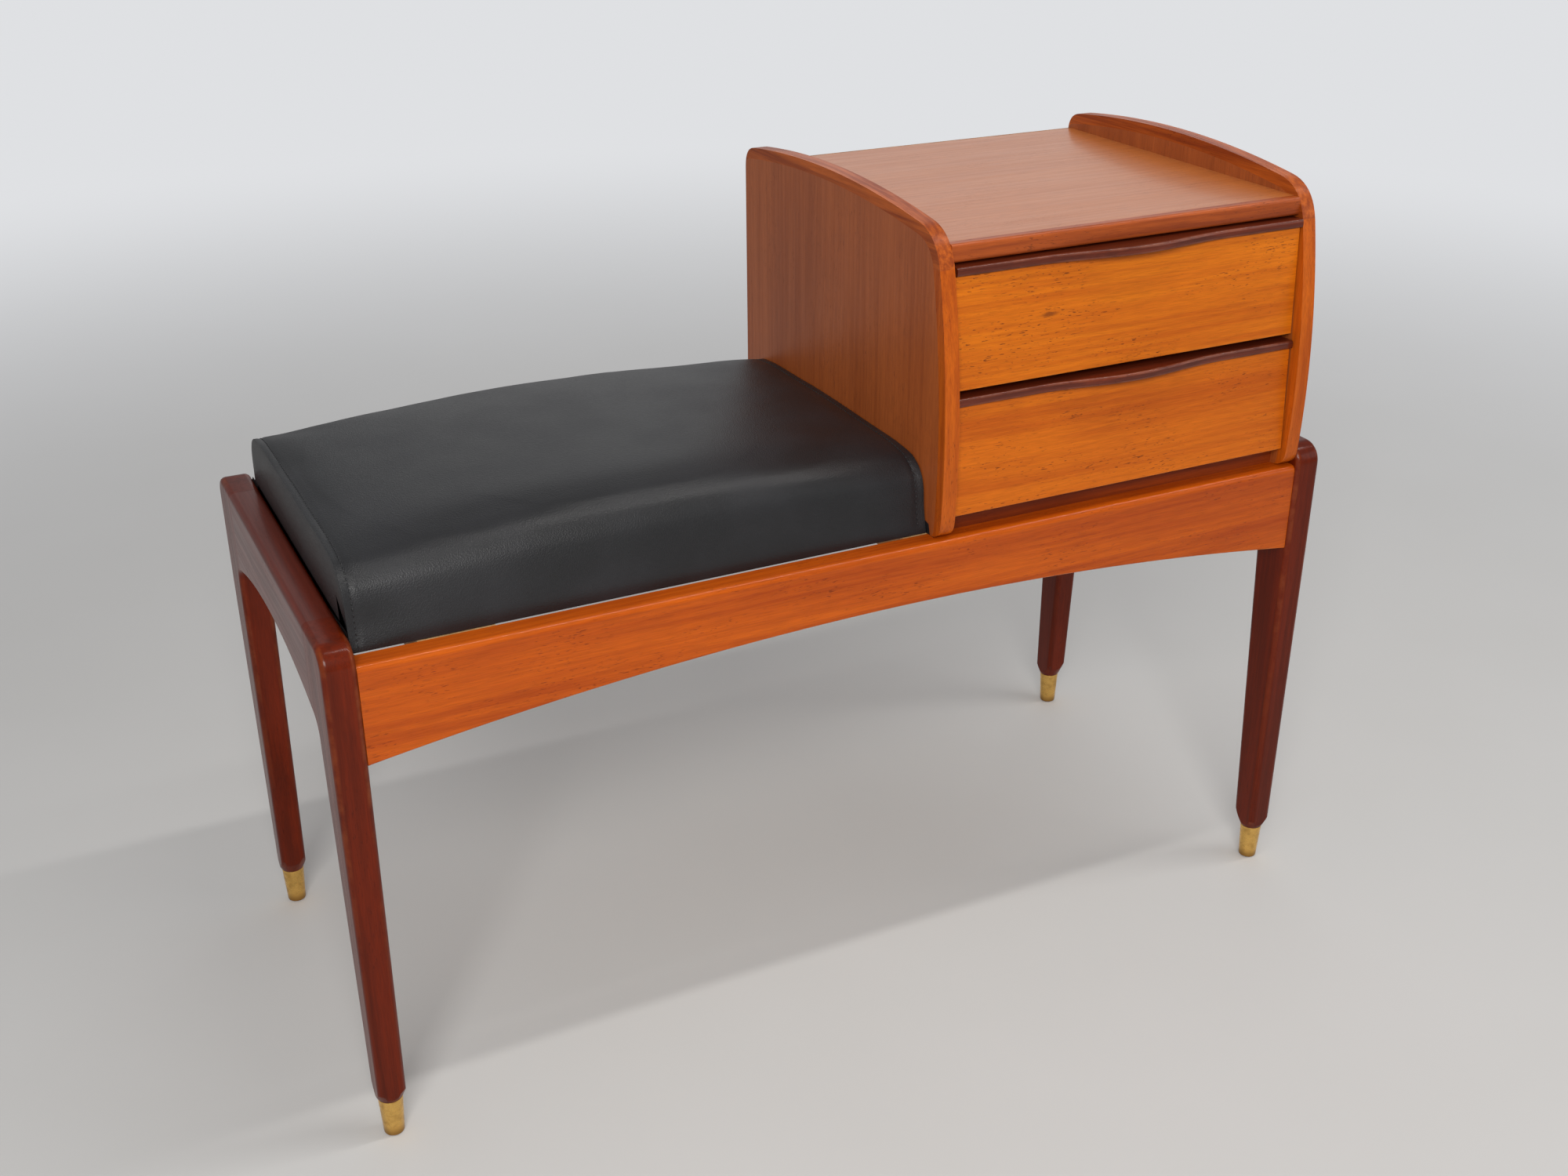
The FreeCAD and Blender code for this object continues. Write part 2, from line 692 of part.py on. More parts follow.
def make_cushion(label):
    """The pad swells towards its middle and draws in along its long sides, in short straight runs
    from slice to slice."""
    low = amount("seat_z + cushion_lift")
    end_top = amount("seat_z + cushion_height")
    left = amount("seat_left_x + soft_gap")
    right = amount("cabinet_left_x - soft_gap")
    half = amount("cushion_half")
    slices = []
    for place in range(CUSHION_SLICES):
        share = place / (CUSHION_SLICES - 1)
        swell = math.sin(math.pi * share)
        slices.append(cushion_section(
            left + share * (right - left), half - swell * amount("cushion_draw_in"),
            end_top + swell * amount("cushion_crown"), low))
    pad_solid = Part.makeLoft(slices, True, True)
    gap = amount("soft_gap")
    board = Part.makeBox(
        amount("cabinet_left_x - seat_left_x - 2 * seat_board_inset") + 2 * gap,
        amount("2 * cushion_half - 2 * seat_board_inset") + 2 * gap,
        amount("seat_board_thickness - cushion_lift") + 2 * gap,
        FreeCAD.Vector(amount("seat_left_x + seat_board_inset") - gap,
                       amount("seat_board_inset - cushion_half") - gap, low - gap))
    cushion = doc.addObject("Part::Feature", label)
    cushion.Label = label
    cushion.Shape = pad_solid.cut(board)
    cushion.Placement = FreeCAD.Placement()
    pieces[label] = cushion


make_cushion("seat_cushion")


# Cabinet sides: veneered boards with a bowed front and a crowned top, lipped in solid teak

def circle_height(centre_z, radius, run):
    """Height of a circle's upper side at a distance along from its centre."""
    return f"{centre_z} + sqrt(({radius}) * ({radius}) - ({run}) * ({run}))"


def circle_front(centre_y, radius, rise):
    """Depth of a circle's front side at a height from its centre."""
    return f"{centre_y} - sqrt(({radius}) * ({radius}) - ({rise}) * ({rise}))"


def side_blank(label, x_formula, front_radius, top_radius, corner, back):
    """Board with the bowed front and crowned top of a cabinet side."""
    body = doc.addObject("PartDesign::Body", label)
    profile = outline(body, "YZ_Plane", [[
        (back, "side_base_z"),
        (circle_front("front_centre_y", front_radius, "side_fullest_height"), "side_base_z",
         front_radius, "full"),
        (f"{corner}_y", f"{corner}_z", top_radius, "full"),
        (back, circle_height("top_centre_z", top_radius, f"{back} - top_centre_y")),
    ]], offset=x_formula)
    pad(body, profile, "side_thickness")
    return body


def rounded_blank(label, x_formula):
    """A cabinet side in one piece, with its outer corners rounded."""
    blank = side_blank(label, x_formula, "side_front_radius", "side_top_radius",
                       "outer_corner", "side_back_depth")
    corner_z, base_z, back = (amount(name) for name in (
        "outer_corner_z", "side_base_z", "side_back_depth"))

    def across(box):
        return box.ZLength < 0.01 and box.YLength < 0.01

    soften(blank, "side_front_round",
           lambda box: across(box) and abs(box.ZMin - corner_z) < 0.01)
    soften(blank, "side_foot_round",
           lambda box: across(box) and abs(box.ZMin - base_z) < 0.01 and box.YMin < 0)
    soften(blank, "side_back_round",
           lambda box: across(box) and abs(box.YMin - back) < 0.01 and box.ZMin > base_z + 10)
    return blank


def cabinet_side(name, x_formula):
    """One side: core board, front lipping from the foot up, and top lipping round the corner."""
    blank = rounded_blank(f"{name}_blank", x_formula)
    bevelled = rounded_blank(f"{name}_bevelled_blank", x_formula)
    soften(bevelled, "side_bevel", lambda box: (
        box.XLength < 0.01 and box.ZLength > 0.01 and box.YLength > 0.01), kind="Chamfer")
    core = side_blank(f"{name}_core", x_formula, "core_front_radius", "core_top_radius",
                      "core_corner", "2 * side_back_depth")
    board = doc.addObject("Part::Common", f"cabinet_{name}_side")
    board.Base, board.Tool = blank, core
    lipping = doc.addObject("Part::Cut", f"{name}_lipping")
    lipping.Base, lipping.Tool = bevelled, core
    low = block(f"{name}_lipping_foot",
                (f"{x_formula} - side_thickness", "-2 * side_fullest_depth", "side_base_z - 1"),
                ("3 * side_thickness", "2 * side_fullest_depth", "lipping_joint_height + 1"),
                keep=False)
    front = doc.addObject("Part::Common", f"{name}_front_lipping")
    front.Base, front.Tool = lipping, low
    top = doc.addObject("Part::Cut", f"{name}_top_lipping")
    top.Base, top.Tool = lipping, low
    for piece in (board, front, top):
        pieces[piece.Name] = piece


cabinet_side("left", "cabinet_left_x")
cabinet_side("right", "span_x - side_thickness")

bay_left = "cabinet_left_x + side_thickness"

# Cabinet boards between the sides

top_board = block("cabinet_top",
                  (bay_left, "top_lipping_width - top_front_depth", "top_z - top_thickness"),
                  ("bay_width", "back_inner_y + top_front_depth - top_lipping_width",
                   "top_thickness"))

top_lipping = new_body("top_front_lipping")
lip_end = outline(top_lipping, "YZ_Plane", [rectangle(
    "-1 * top_front_depth", "top_z - top_thickness",
    "top_lipping_width - top_front_depth", "top_z")], offset=bay_left)
pad(top_lipping, lip_end, "bay_width")
lip_front = -amount("top_front_depth")
soften(top_lipping, "top_arris", lambda box: box.XLength > 100 and abs(box.YMin - lip_front) < 0.01)

block("cabinet_back", (bay_left, "back_inner_y", "side_base_z"),
      ("bay_width", "back_thickness", "top_height - soft_gap"))

bottom = new_body("cabinet_bottom")
bottom_outline = outline(bottom, "XY_Plane", [rectangle(
    bay_left, "bottom_rail_width - bottom_rail_depth",
    f"{bay_left} + bay_width", "back_inner_y")], offset="side_base_z")
pad(bottom, bottom_outline, "bottom_thickness")
bottom_pilots = circles(bottom, "XY_Plane", screw_spots(CABINET_SCREW_LINES),
                        "screw_shank_width + 2 * joint_gap", offset="side_base_z")
pocket(bottom, bottom_pilots, "screw_length - bearer_height + joint_gap", backwards=True)

block("cabinet_bottom_rail", (bay_left, "-1 * bottom_rail_depth", "side_base_z"),
      ("bay_width", "bottom_rail_width", "bottom_rail_height"))


# Drawers: two alike, with fronts in one leaning plane, hung on side runners

DRAWERS = {"lower": "0", "upper": "1"}


def place_drawer(piece, level):
    """Puts a drawer piece at its level, the lower drawer standing further out down the slope."""
    bind(piece, "Placement.Base.x", "cabinet_mid_x")
    bind(piece, "Placement.Base.y", f"({level} - 1) * drawer_front_slope * drawer_pitch")
    bind(piece, "Placement.Base.z", f"side_base_z + drawer_lift + {level} * drawer_pitch")


def leaning(depth, height):
    """Depth of a leaning plane at a height, from its depth at the top of the drawer front."""
    return f"-1 * ({depth}) - drawer_front_slope * (drawer_front_height - ({height}))"


def drawer_front(name, level):
    body = new_body(f"{name}_drawer_front")
    end_shape = outline(body, "YZ_Plane", [[
        (leaning("drawer_front_depth", "0"), "0"),
        (leaning("drawer_side_y", "0"), "0"),
        (leaning("drawer_side_y", "drawer_front_height"), "drawer_front_height"),
        (leaning("drawer_front_depth", "drawer_front_height"), "drawer_front_height"),
    ]])
    pad(body, end_shape, "drawer_width", side="Symmetric")
    half, height = amount("drawer_width / 2"), amount("drawer_front_height")
    face = -amount("drawer_front_depth")
    soften(body, "drawer_front_arris", lambda box: (
        box.YMin < face + 0.01 and box.YMax < face + 0.01 and box.ZMin < height - 1))
    groove = outline(body, "YZ_Plane", [rectangle(
        f"{leaning('drawer_side_y', 'floor_low')} - bottom_groove_depth", "floor_low",
        "0", "floor_low + drawer_bottom_thickness")])
    pocket(body, groove, "drawer_width - drawer_side_thickness", side="Symmetric")
    place_drawer(body, level)


def drawer_pull(name, level):
    """Dark hardwood strip along the front's top edge, swelling forward into a finger hold."""
    body = new_body(f"{name}_drawer_pull")
    bend = "(pull_swell_width * pull_swell_width / 4 + pull_swell * pull_swell) / (4 * pull_swell)"
    edge = "-1 * (drawer_front_depth + pull_reach)"
    peak = f"{edge} - pull_swell"
    plan = outline(body, "XY_Plane", [[
        ("-1 * drawer_width / 2", edge),
        ("-1 * pull_swell_width / 2", edge, bend, "hollow"),
        ("-1 * pull_swell_width / 4", f"{edge} - pull_swell / 2", bend, "full"),
        ("pull_swell_width / 4", f"{edge} - pull_swell / 2", bend, "hollow"),
        ("pull_swell_width / 2", edge),
        ("drawer_width / 2", edge),
        ("drawer_width / 2", "-1 * drawer_side_y"),
        ("-1 * drawer_width / 2", "-1 * drawer_side_y"),
    ]], offset="drawer_front_height")
    pad(body, plan, "pull_thickness")
    back = -amount("drawer_front_depth")
    soften(body, "pull_nose_round", lambda box: box.ZLength < 0.01 and box.YMax < back - 0.5)
    place_drawer(body, level)


def drawer_side(name, side, sx, level):
    body = new_body(f"{name}_drawer_{side}_side")
    foot, head = "drawer_side_lift", "drawer_side_lift + drawer_side_height"
    board = outline(body, "YZ_Plane", [[
        (leaning("drawer_side_y", foot), foot),
        ("drawer_back_depth", foot),
        ("drawer_back_depth", head),
        (leaning("drawer_side_y", head), head),
    ]], offset=f"{sx} * drawer_width / 2")
    pad(body, board, "drawer_side_thickness", backwards=(sx == "1"))
    run = outline(body, "YZ_Plane", [rectangle(
        "drawer_back_depth - drawer_front_slope * drawer_pitch - runner_length - 2 * runner_gap",
        "runner_centre - runner_height / 2 - runner_gap",
        "drawer_back_depth", "runner_centre + runner_height / 2 + runner_gap")],
        offset=f"{sx} * drawer_width / 2")
    pocket(body, run, "runner_groove_depth", backwards=(sx == "-1"))
    groove = outline(body, "YZ_Plane", [rectangle(
        leaning("drawer_side_y", "floor_low"), "floor_low",
        "drawer_back_depth", "floor_low + drawer_bottom_thickness")],
        offset=f"{sx} * (drawer_width / 2 - drawer_side_thickness)")
    pocket(body, groove, "bottom_groove_depth", backwards=(sx == "1"))
    place_drawer(body, level)


def drawer_back(name, level):
    body = new_body(f"{name}_drawer_back")
    board = outline(body, "XZ_Plane", [rectangle(
        "drawer_side_thickness - drawer_width / 2", "floor_low + drawer_bottom_thickness",
        "drawer_width / 2 - drawer_side_thickness", "drawer_side_lift + drawer_side_height",
    )], offset="-1 * drawer_back_depth")
    pad(body, board, "drawer_back_thickness")
    place_drawer(body, level)


def drawer_bottom(name, level):
    body = new_body(f"{name}_drawer_bottom")
    half = "drawer_width / 2 - drawer_side_thickness + bottom_groove_depth - joint_gap"
    sheet_outline = outline(body, "XY_Plane", [rectangle(
        f"-1 * ({half})", f"{leaning('drawer_side_y', 'floor_low')} - bottom_groove_depth + joint_gap",
        half, "drawer_back_depth")], offset="floor_low")
    pad(body, sheet_outline, "drawer_bottom_thickness")
    place_drawer(body, level)


def runner(name, side, sx, level):
    """Hardwood strip on the cabinet side, running in the groove of the drawer side."""
    inner = f"cabinet_mid_x + {sx} * bay_width / 2"
    low_x = inner if sx == "-1" else f"{inner} - runner_width"
    block(f"{name}_{side}_runner",
          (low_x, "drawer_back_depth - drawer_front_slope * drawer_pitch - runner_length",
           f"side_base_z + drawer_lift + {level} * drawer_pitch + runner_centre - runner_height / 2"),
          ("runner_width", "runner_length", "runner_height"))


for drawer_name, drawer_level in DRAWERS.items():
    drawer_front(drawer_name, drawer_level)
    drawer_pull(drawer_name, drawer_level)
    drawer_back(drawer_name, drawer_level)
    drawer_bottom(drawer_name, drawer_level)
    for side_name, side_sign in SIDES.items():
        drawer_side(drawer_name, side_name, side_sign, drawer_level)
        runner(drawer_name, side_name, side_sign, drawer_level)


# Checks and export

def check_document():
    doc.recompute()
    for thing in doc.Objects:
        if "Invalid" in thing.State or "Error" in thing.State:
            raise RuntimeError(f"{thing.Label} failed: {thing.State}")
    for label, piece in pieces.items():
        if piece.Shape.isNull() or not piece.Shape.isValid() or not piece.Shape.Solids:
            raise RuntimeError(f"{label} has no valid solid")


def write_parts():
    os.makedirs("parts", exist_ok=True)
    for label, piece in pieces.items():
        piece.Shape.exportStep(f"parts/{label}.step")
        box = piece.Shape.BoundBox
        print(f"{label}: {len(piece.Shape.Solids)} solid, x {box.XMin:.1f} to {box.XMax:.1f}, "
              f"y {box.YMin:.1f} to {box.YMax:.1f}, z {box.ZMin:.1f} to {box.ZMax:.1f}")


check_document()
write_parts()
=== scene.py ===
import math

import bmesh
import bpy
from mathutils import Matrix, Vector
from mathutils.bvhtree import BVHTree


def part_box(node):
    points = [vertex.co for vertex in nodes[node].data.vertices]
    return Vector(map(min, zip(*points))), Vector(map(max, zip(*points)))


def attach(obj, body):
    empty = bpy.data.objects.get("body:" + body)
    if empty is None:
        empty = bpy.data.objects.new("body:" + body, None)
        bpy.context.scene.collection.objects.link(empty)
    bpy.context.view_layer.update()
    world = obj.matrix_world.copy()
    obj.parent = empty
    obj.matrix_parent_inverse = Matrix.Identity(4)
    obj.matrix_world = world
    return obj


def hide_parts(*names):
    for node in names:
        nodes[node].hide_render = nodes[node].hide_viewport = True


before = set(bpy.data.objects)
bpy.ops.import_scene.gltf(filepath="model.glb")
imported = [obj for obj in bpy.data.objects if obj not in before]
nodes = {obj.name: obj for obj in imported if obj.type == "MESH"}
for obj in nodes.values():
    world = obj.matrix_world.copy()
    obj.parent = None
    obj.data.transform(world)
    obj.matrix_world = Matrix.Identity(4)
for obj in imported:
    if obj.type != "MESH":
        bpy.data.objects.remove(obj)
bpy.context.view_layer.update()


# Legs
# Four legs of solid teak stained a deep red brown and rubbed to a satin. Each is sawn with a knee
# where the end rail's arch begins, rounded on its arrises, tapered, and turned to a toe.

MM = 0.001
LEG_CENTRE_X = 443
LEG_CENTRE_Y = 180
LEG_WIDTH = 26
LEG_FOOT_WIDTH = 23
LEG_OUTER_Y = 192.5
LEG_SHOULDER = 18
FOOT_INNER_Y = 167.5
FOOT_Z = 1.6
JOINT_Y = 136
FRAME_TOP = 448
TAPER_TOP = 348
ARCH_TOP = 392
ARCH_RADIUS = 494.8
KNEE = (149.1, 369.0)
KNEE_DROP = 10.4
KNEE_REACH = 9.9
DEEP_ARRIS = 5
HAIR = 0.1  # millimetres that tell one edge of a board from the next
DARK_PALE = (106, 31, 5)
DARK_DEEP = (76, 20, 3)
WORN_DARK = (150, 78, 40)
AXES = {"x": (1, 2, 0), "y": (0, 2, 1), "z": (0, 1, 2)}
SHARP = math.radians(32)


def paint(red, green, blue):
    """A colour as the eye names it, from 0 to 255, for a shader socket."""
    def light(value):
        value /= 255
        return value / 12.92 if value <= 0.04045 else ((value + 0.055) / 1.055) ** 2.4
    return (light(red), light(green), light(blue), 1.0)


def saw(outline, along, low, high):
    """A board sawn to an outline in millimetres and cut square between two places along an axis."""
    board = bmesh.new()
    board.verts.layers.float.new("arris")
    across, up, run = AXES[along]
    rings = []
    for place in (low, high):
        ring = []
        for point in outline:
            spot = Vector((0, 0, 0))
            spot[across], spot[up], spot[run] = point[0] * MM, point[1] * MM, place * MM
            ring.append(board.verts.new(spot))
        rings.append(ring)
    board.faces.new(rings[0])
    board.faces.new(list(reversed(rings[1])))
    for here in range(len(outline)):
        board.faces.new((rings[0][here - 1], rings[0][here], rings[1][here], rings[1][here - 1]))
    bmesh.ops.recalc_face_normals(board, faces=board.faces)
    return board


def cut_line(board, axis, place):
    """Scribes a line round the board at one place along an axis, in millimetres."""
    normal = Vector((0, 0, 0))
    normal[axis] = 1
    bmesh.ops.bisect_plane(board, geom=board.verts[:] + board.edges[:] + board.faces[:],
                           plane_co=normal * place * MM, plane_no=normal, dist=1e-6)


def ease(board, width, chosen, segments=3):
    """Rounds the sharp edges whose middle is chosen, and marks the crest of each rounding."""
    edges = [edge for edge in board.edges
             if len(edge.link_faces) == 2 and edge.calc_face_angle(0) > SHARP
             and chosen((edge.verts[0].co + edge.verts[1].co) / 2 / MM)]
    made = bmesh.ops.bevel(board, geom=edges, offset=width * MM, segments=segments,
                           profile=0.5, affect="EDGES", clamp_overlap=True)
    rounding = set(made["faces"])
    arris = board.verts.layers.float["arris"]
    for vertex in made["verts"]:
        if all(face in rounding for face in vertex.link_faces):
            vertex[arris] = 1.0


def settle(piece):
    """Applies a piece's modifiers to its mesh."""
    graph = bpy.context.evaluated_depsgraph_get()
    fresh = bpy.data.meshes.new_from_object(piece.evaluated_get(graph), depsgraph=graph)
    old = piece.data
    piece.modifiers.clear()
    piece.data = fresh
    bpy.data.meshes.remove(old)


def as_piece(board, name):
    """Turns worked-up geometry into a named object."""
    mesh = bpy.data.meshes.new(name)
    board.to_mesh(mesh)
    board.free()
    piece = bpy.data.objects.new(name, mesh)
    bpy.context.scene.collection.objects.link(piece)
    return piece


def shade(piece):
    """Smooth shading everywhere except over sharp edges."""
    board = bmesh.new()
    board.from_mesh(piece.data)
    for face in board.faces:
        face.smooth = True
    for edge in board.edges:
        edge.smooth = edge.calc_face_angle(0) < SHARP
    board.to_mesh(piece.data)
    board.free()


def polish(piece):
    """Smooth shading over roundings, with the flat faces kept truly flat."""
    shade(piece)
    weighted = piece.modifiers.new("flat faces", "WEIGHTED_NORMAL")
    weighted.keep_sharp = True
    settle(piece)


def fit(piece, body, finish, slot, *replaced):
    """Gives a piece its finish and its body, and hides the nodes that it stands for."""
    piece.data.materials.clear()
    piece.data.materials.append(finish)
    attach(piece, body)
    if replaced:
        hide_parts(*replaced)


def turned(profile, x, y, steps=48):
    """A turned piece from (radius, height) pairs in millimetres round an upright axis."""
    piece = bmesh.new()
    piece.verts.layers.float.new("arris")
    rings = []
    for radius, height in profile:
        if radius == 0:
            rings.append([piece.verts.new((x * MM, y * MM, height * MM))])
            continue
        turn = [2 * math.pi * step / steps for step in range(steps)]
        rings.append([piece.verts.new(((x + radius * math.cos(angle)) * MM,
                                       (y + radius * math.sin(angle)) * MM, height * MM))
                      for angle in turn])
    for below, above in zip(rings, rings[1:]):
        for step in range(steps):
            corners = [below[step % len(below)], below[(step + 1) % len(below)],
                       above[(step + 1) % len(above)], above[step % len(above)]]
            piece.faces.new(list(dict.fromkeys(corners)))
    bmesh.ops.recalc_face_normals(piece, faces=piece.faces)
    return piece


def shape_with(piece, tool, way):
    """Cuts or trims a piece with a tool shape, and puts the tool away."""
    cutter = piece.modifiers.new("tool", "BOOLEAN")
    cutter.object = tool
    cutter.operation = way
    cutter.solver = "EXACT"
    settle(piece)
    bpy.data.objects.remove(tool)


def swing(centre, radius, start, finish, steps):
    """Points along an arc, its angles in degrees."""
    points = []
    for step in range(steps + 1):
        angle = math.radians(start + (finish - start) * step / steps)
        points.append((centre[0] + radius * math.cos(angle), centre[1] + radius * math.sin(angle)))
    return points


def ease_corner(before, corner, after, steps=8):
    """Points of a soft curve that rounds a corner between two points on its sides."""
    points = []
    for step in range(steps + 1):
        share = step / steps
        ends = (1 - share) ** 2, 2 * share * (1 - share), share ** 2
        points.append(tuple(ends[0] * before[side] + ends[1] * corner[side] + ends[2] * after[side]
                            for side in (0, 1)))
    return points


def arch_height(y):
    """Height of the end frame's arch at a distance from its middle."""
    return ARCH_TOP - ARCH_RADIUS + math.sqrt(ARCH_RADIUS ** 2 - y ** 2)


def inner_edge(height):
    """Distance of the leg's inner edge from the middle of the bench, at a height."""
    return FOOT_INNER_Y + (KNEE[0] - FOOT_INNER_Y) * height / KNEE[1]


def leg_outline(front):
    """The leg's side view, from the joint on top round the outside to the foot and the knee."""
    shoulder = swing((LEG_OUTER_Y - LEG_SHOULDER, FRAME_TOP - LEG_SHOULDER), LEG_SHOULDER, 90, 0, 9)
    knee_low = (inner_edge(KNEE[1] - KNEE_DROP), KNEE[1] - KNEE_DROP)
    knee_high = (KNEE[0] - KNEE_REACH, arch_height(KNEE[0] - KNEE_REACH))
    points = [(JOINT_Y, FRAME_TOP)] + shoulder
    points += [(LEG_OUTER_Y, FOOT_Z), (inner_edge(FOOT_Z), FOOT_Z)]
    points += ease_corner(knee_low, KNEE, knee_high)
    points += [(JOINT_Y, arch_height(JOINT_Y))]
    return [(-y if front else y, z) for y, z in points]


TOE = [(0, FOOT_Z), (6.6, FOOT_Z), (6.6, 35.9), (9.9, 35.9), (11.2, 38), (14.2, 45), (16.8, 51.5),
       (18.4, 56), (80, 56), (80, 470), (0, 470)]


def make_leg(front, left, finish):
    name = f"{'front' if front else 'rear'}_{'left' if left else 'right'}_leg"
    x = -LEG_CENTRE_X if left else LEG_CENTRE_X
    y = -LEG_CENTRE_Y if front else LEG_CENTRE_Y
    board = saw(leg_outline(front), "x", x - LEG_WIDTH / 2, x + LEG_WIDTH / 2)
    cut_line(board, 2, TAPER_TOP)
    for vertex in board.verts:
        below = max(0.0, TAPER_TOP - vertex.co.z / MM) / TAPER_TOP
        narrow = 1 - below * (1 - LEG_FOOT_WIDTH / LEG_WIDTH)
        vertex.co.x = x * MM + (vertex.co.x - x * MM) * narrow
    ease(board, DEEP_ARRIS, lambda spot: abs(spot.y) > JOINT_Y + HAIR and spot.z > 2, segments=4)
    leg = as_piece(board, f"teak_{name}")
    shape_with(leg, as_piece(turned(TOE, x, y), "toe_lathe"), "INTERSECT")
    polish(leg)
    fit(leg, "bench", finish, "dark_teak", name)


def add(tree, kind, inputs=None, **settings):
    """Adds a shader node, with its inputs set or linked, and returns it."""
    made = tree.nodes.new("ShaderNode" + kind)
    for key, value in settings.items():
        setattr(made, key, value)
    for key, value in (inputs or {}).items():
        if isinstance(value, bpy.types.NodeSocket):
            tree.links.new(value, made.inputs[key])
        else:
            made.inputs[key].default_value = value
    return made


def maths(tree, way, *values):
    return add(tree, "Math", dict(enumerate(values)), operation=way).outputs[0]


def scaled(tree, vector, x, y, z):
    return add(tree, "VectorMath", {0: vector, 1: (x, y, z)}, operation="MULTIPLY").outputs[0]


def step_up(tree, value, low, high, first=0.0, last=1.0):
    """A soft step from the first value to the last as the input goes from low to high."""
    return add(tree, "MapRange", {"Value": value, "From Min": low, "From Max": high,
                                  "To Min": first, "To Max": last},
               interpolation_type="SMOOTHSTEP").outputs[0]


def cloud(tree, vector, scale=1.0, detail=2.0, roughness=0.5, output="Fac"):
    return add(tree, "TexNoise", {"Vector": vector, "Scale": scale, "Detail": detail,
                                  "Roughness": roughness}).outputs[output]


def tint(tree, factor, first, second):
    return add(tree, "Mix", {0: factor, 6: first, 7: second}, data_type="RGBA").outputs[2]


def new_group(name, inputs, outputs):
    """A shader node group with named sockets, and its two end nodes."""
    group = bpy.data.node_groups.new(name, "ShaderNodeTree")
    for label, kind, value in inputs:
        socket = group.interface.new_socket(label, in_out="INPUT", socket_type=f"NodeSocket{kind}")
        if value is not None:
            socket.default_value = value
    for label, kind in outputs:
        group.interface.new_socket(label, in_out="OUTPUT", socket_type=f"NodeSocket{kind}")
    return group, group.nodes.new("NodeGroupInput").outputs, group.nodes.new("NodeGroupOutput")


def place_group(tree, group, inputs):
    placed = tree.nodes.new("ShaderNodeGroup")
    placed.node_tree = group
    for label, value in inputs.items():
        if isinstance(value, bpy.types.NodeSocket):
            tree.links.new(value, placed.inputs[label])
        else:
            placed.inputs[label].default_value = value
    return placed.outputs


def hand_out(tree, ending, results):
    for label, value in results.items():
        tree.links.new(value, ending.inputs[label])


# The figure of teak: broad growth bands, narrow streaks, fibres, and short dark pores in patches.
teak_grain, given, ending = new_group(
    "teak grain",
    [("Along", "Vector", None), ("Pale", "Color", (0.6, 0.2, 0.02, 1)),
     ("Deep", "Color", (0.3, 0.1, 0.01, 1)), ("Figure", "Float", 0.5), ("Pores", "Float", 0.5),
     ("Roughness", "Float", 0.35)],
    [("Colour", "Color"), ("Roughness", "Float"), ("Height", "Float")])
drift = add(teak_grain, "VectorMath", {
    0: cloud(teak_grain, scaled(teak_grain, given["Along"], 2.2, 7, 7), output="Color"),
    1: (0.5, 0.5, 0.5)}, operation="SUBTRACT").outputs[0]
wandering = add(teak_grain, "VectorMath", {
    0: given["Along"], 1: scaled(teak_grain, drift, 0.0, 0.012, 0.012)}, operation="ADD").outputs[0]
bands = step_up(teak_grain, cloud(teak_grain, scaled(teak_grain, wandering, 0.8, 48, 48)), 0.3, 0.7)
streaks = step_up(teak_grain, cloud(teak_grain, scaled(teak_grain, wandering, 6, 260, 260),
                                    detail=3), 0.3, 0.7)
patches = step_up(teak_grain, cloud(teak_grain, scaled(teak_grain, given["Along"], 8, 19, 19)),
                  0.35, 0.65)
fibres = cloud(teak_grain, scaled(teak_grain, given["Along"], 60, 1500, 1500), detail=1)
tone = maths(teak_grain, "MULTIPLY_ADD", bands, 0.4, maths(
    teak_grain, "MULTIPLY_ADD", streaks, 0.42, maths(teak_grain, "MULTIPLY", patches, 0.18)))
depth = maths(teak_grain, "MULTIPLY_ADD", maths(teak_grain, "SUBTRACT", tone, 0.5),
              maths(teak_grain, "MULTIPLY", given["Figure"], 2.0), 0.5)
wood = tint(teak_grain, step_up(teak_grain, depth, 0.0, 1.0), given["Pale"], given["Deep"])
fibre_shade = step_up(teak_grain, fibres, 0.3, 0.75, 1.06, 0.86)
wood = add(teak_grain, "VectorMath", {0: wood, "Scale": fibre_shade}, operation="SCALE").outputs[0]
dashes = step_up(teak_grain, cloud(teak_grain, scaled(teak_grain, wandering, 165, 1050, 1050),
                                   detail=1), 0.645, 0.70)
grouped = step_up(teak_grain, cloud(teak_grain, scaled(teak_grain, given["Along"], 11, 34, 34)),
                  0.44, 0.62, 0.12, 1.0)
pores = maths(teak_grain, "MULTIPLY", maths(teak_grain, "MULTIPLY", dashes, grouped),
              given["Pores"])
pore_colour = add(teak_grain, "VectorMath", {0: given["Deep"], "Scale": 0.32},
                  operation="SCALE").outputs[0]
hand_out(teak_grain, ending, {
    "Colour": tint(teak_grain, pores, wood, pore_colour),
    "Roughness": maths(teak_grain, "MULTIPLY_ADD", streaks, 0.07, maths(
        teak_grain, "MULTIPLY_ADD", pores, 0.25, given["Roughness"])),
    "Height": maths(teak_grain, "MULTIPLY_ADD", fibres, 0.3, maths(
        teak_grain, "MULTIPLY", pores, -1.0))})
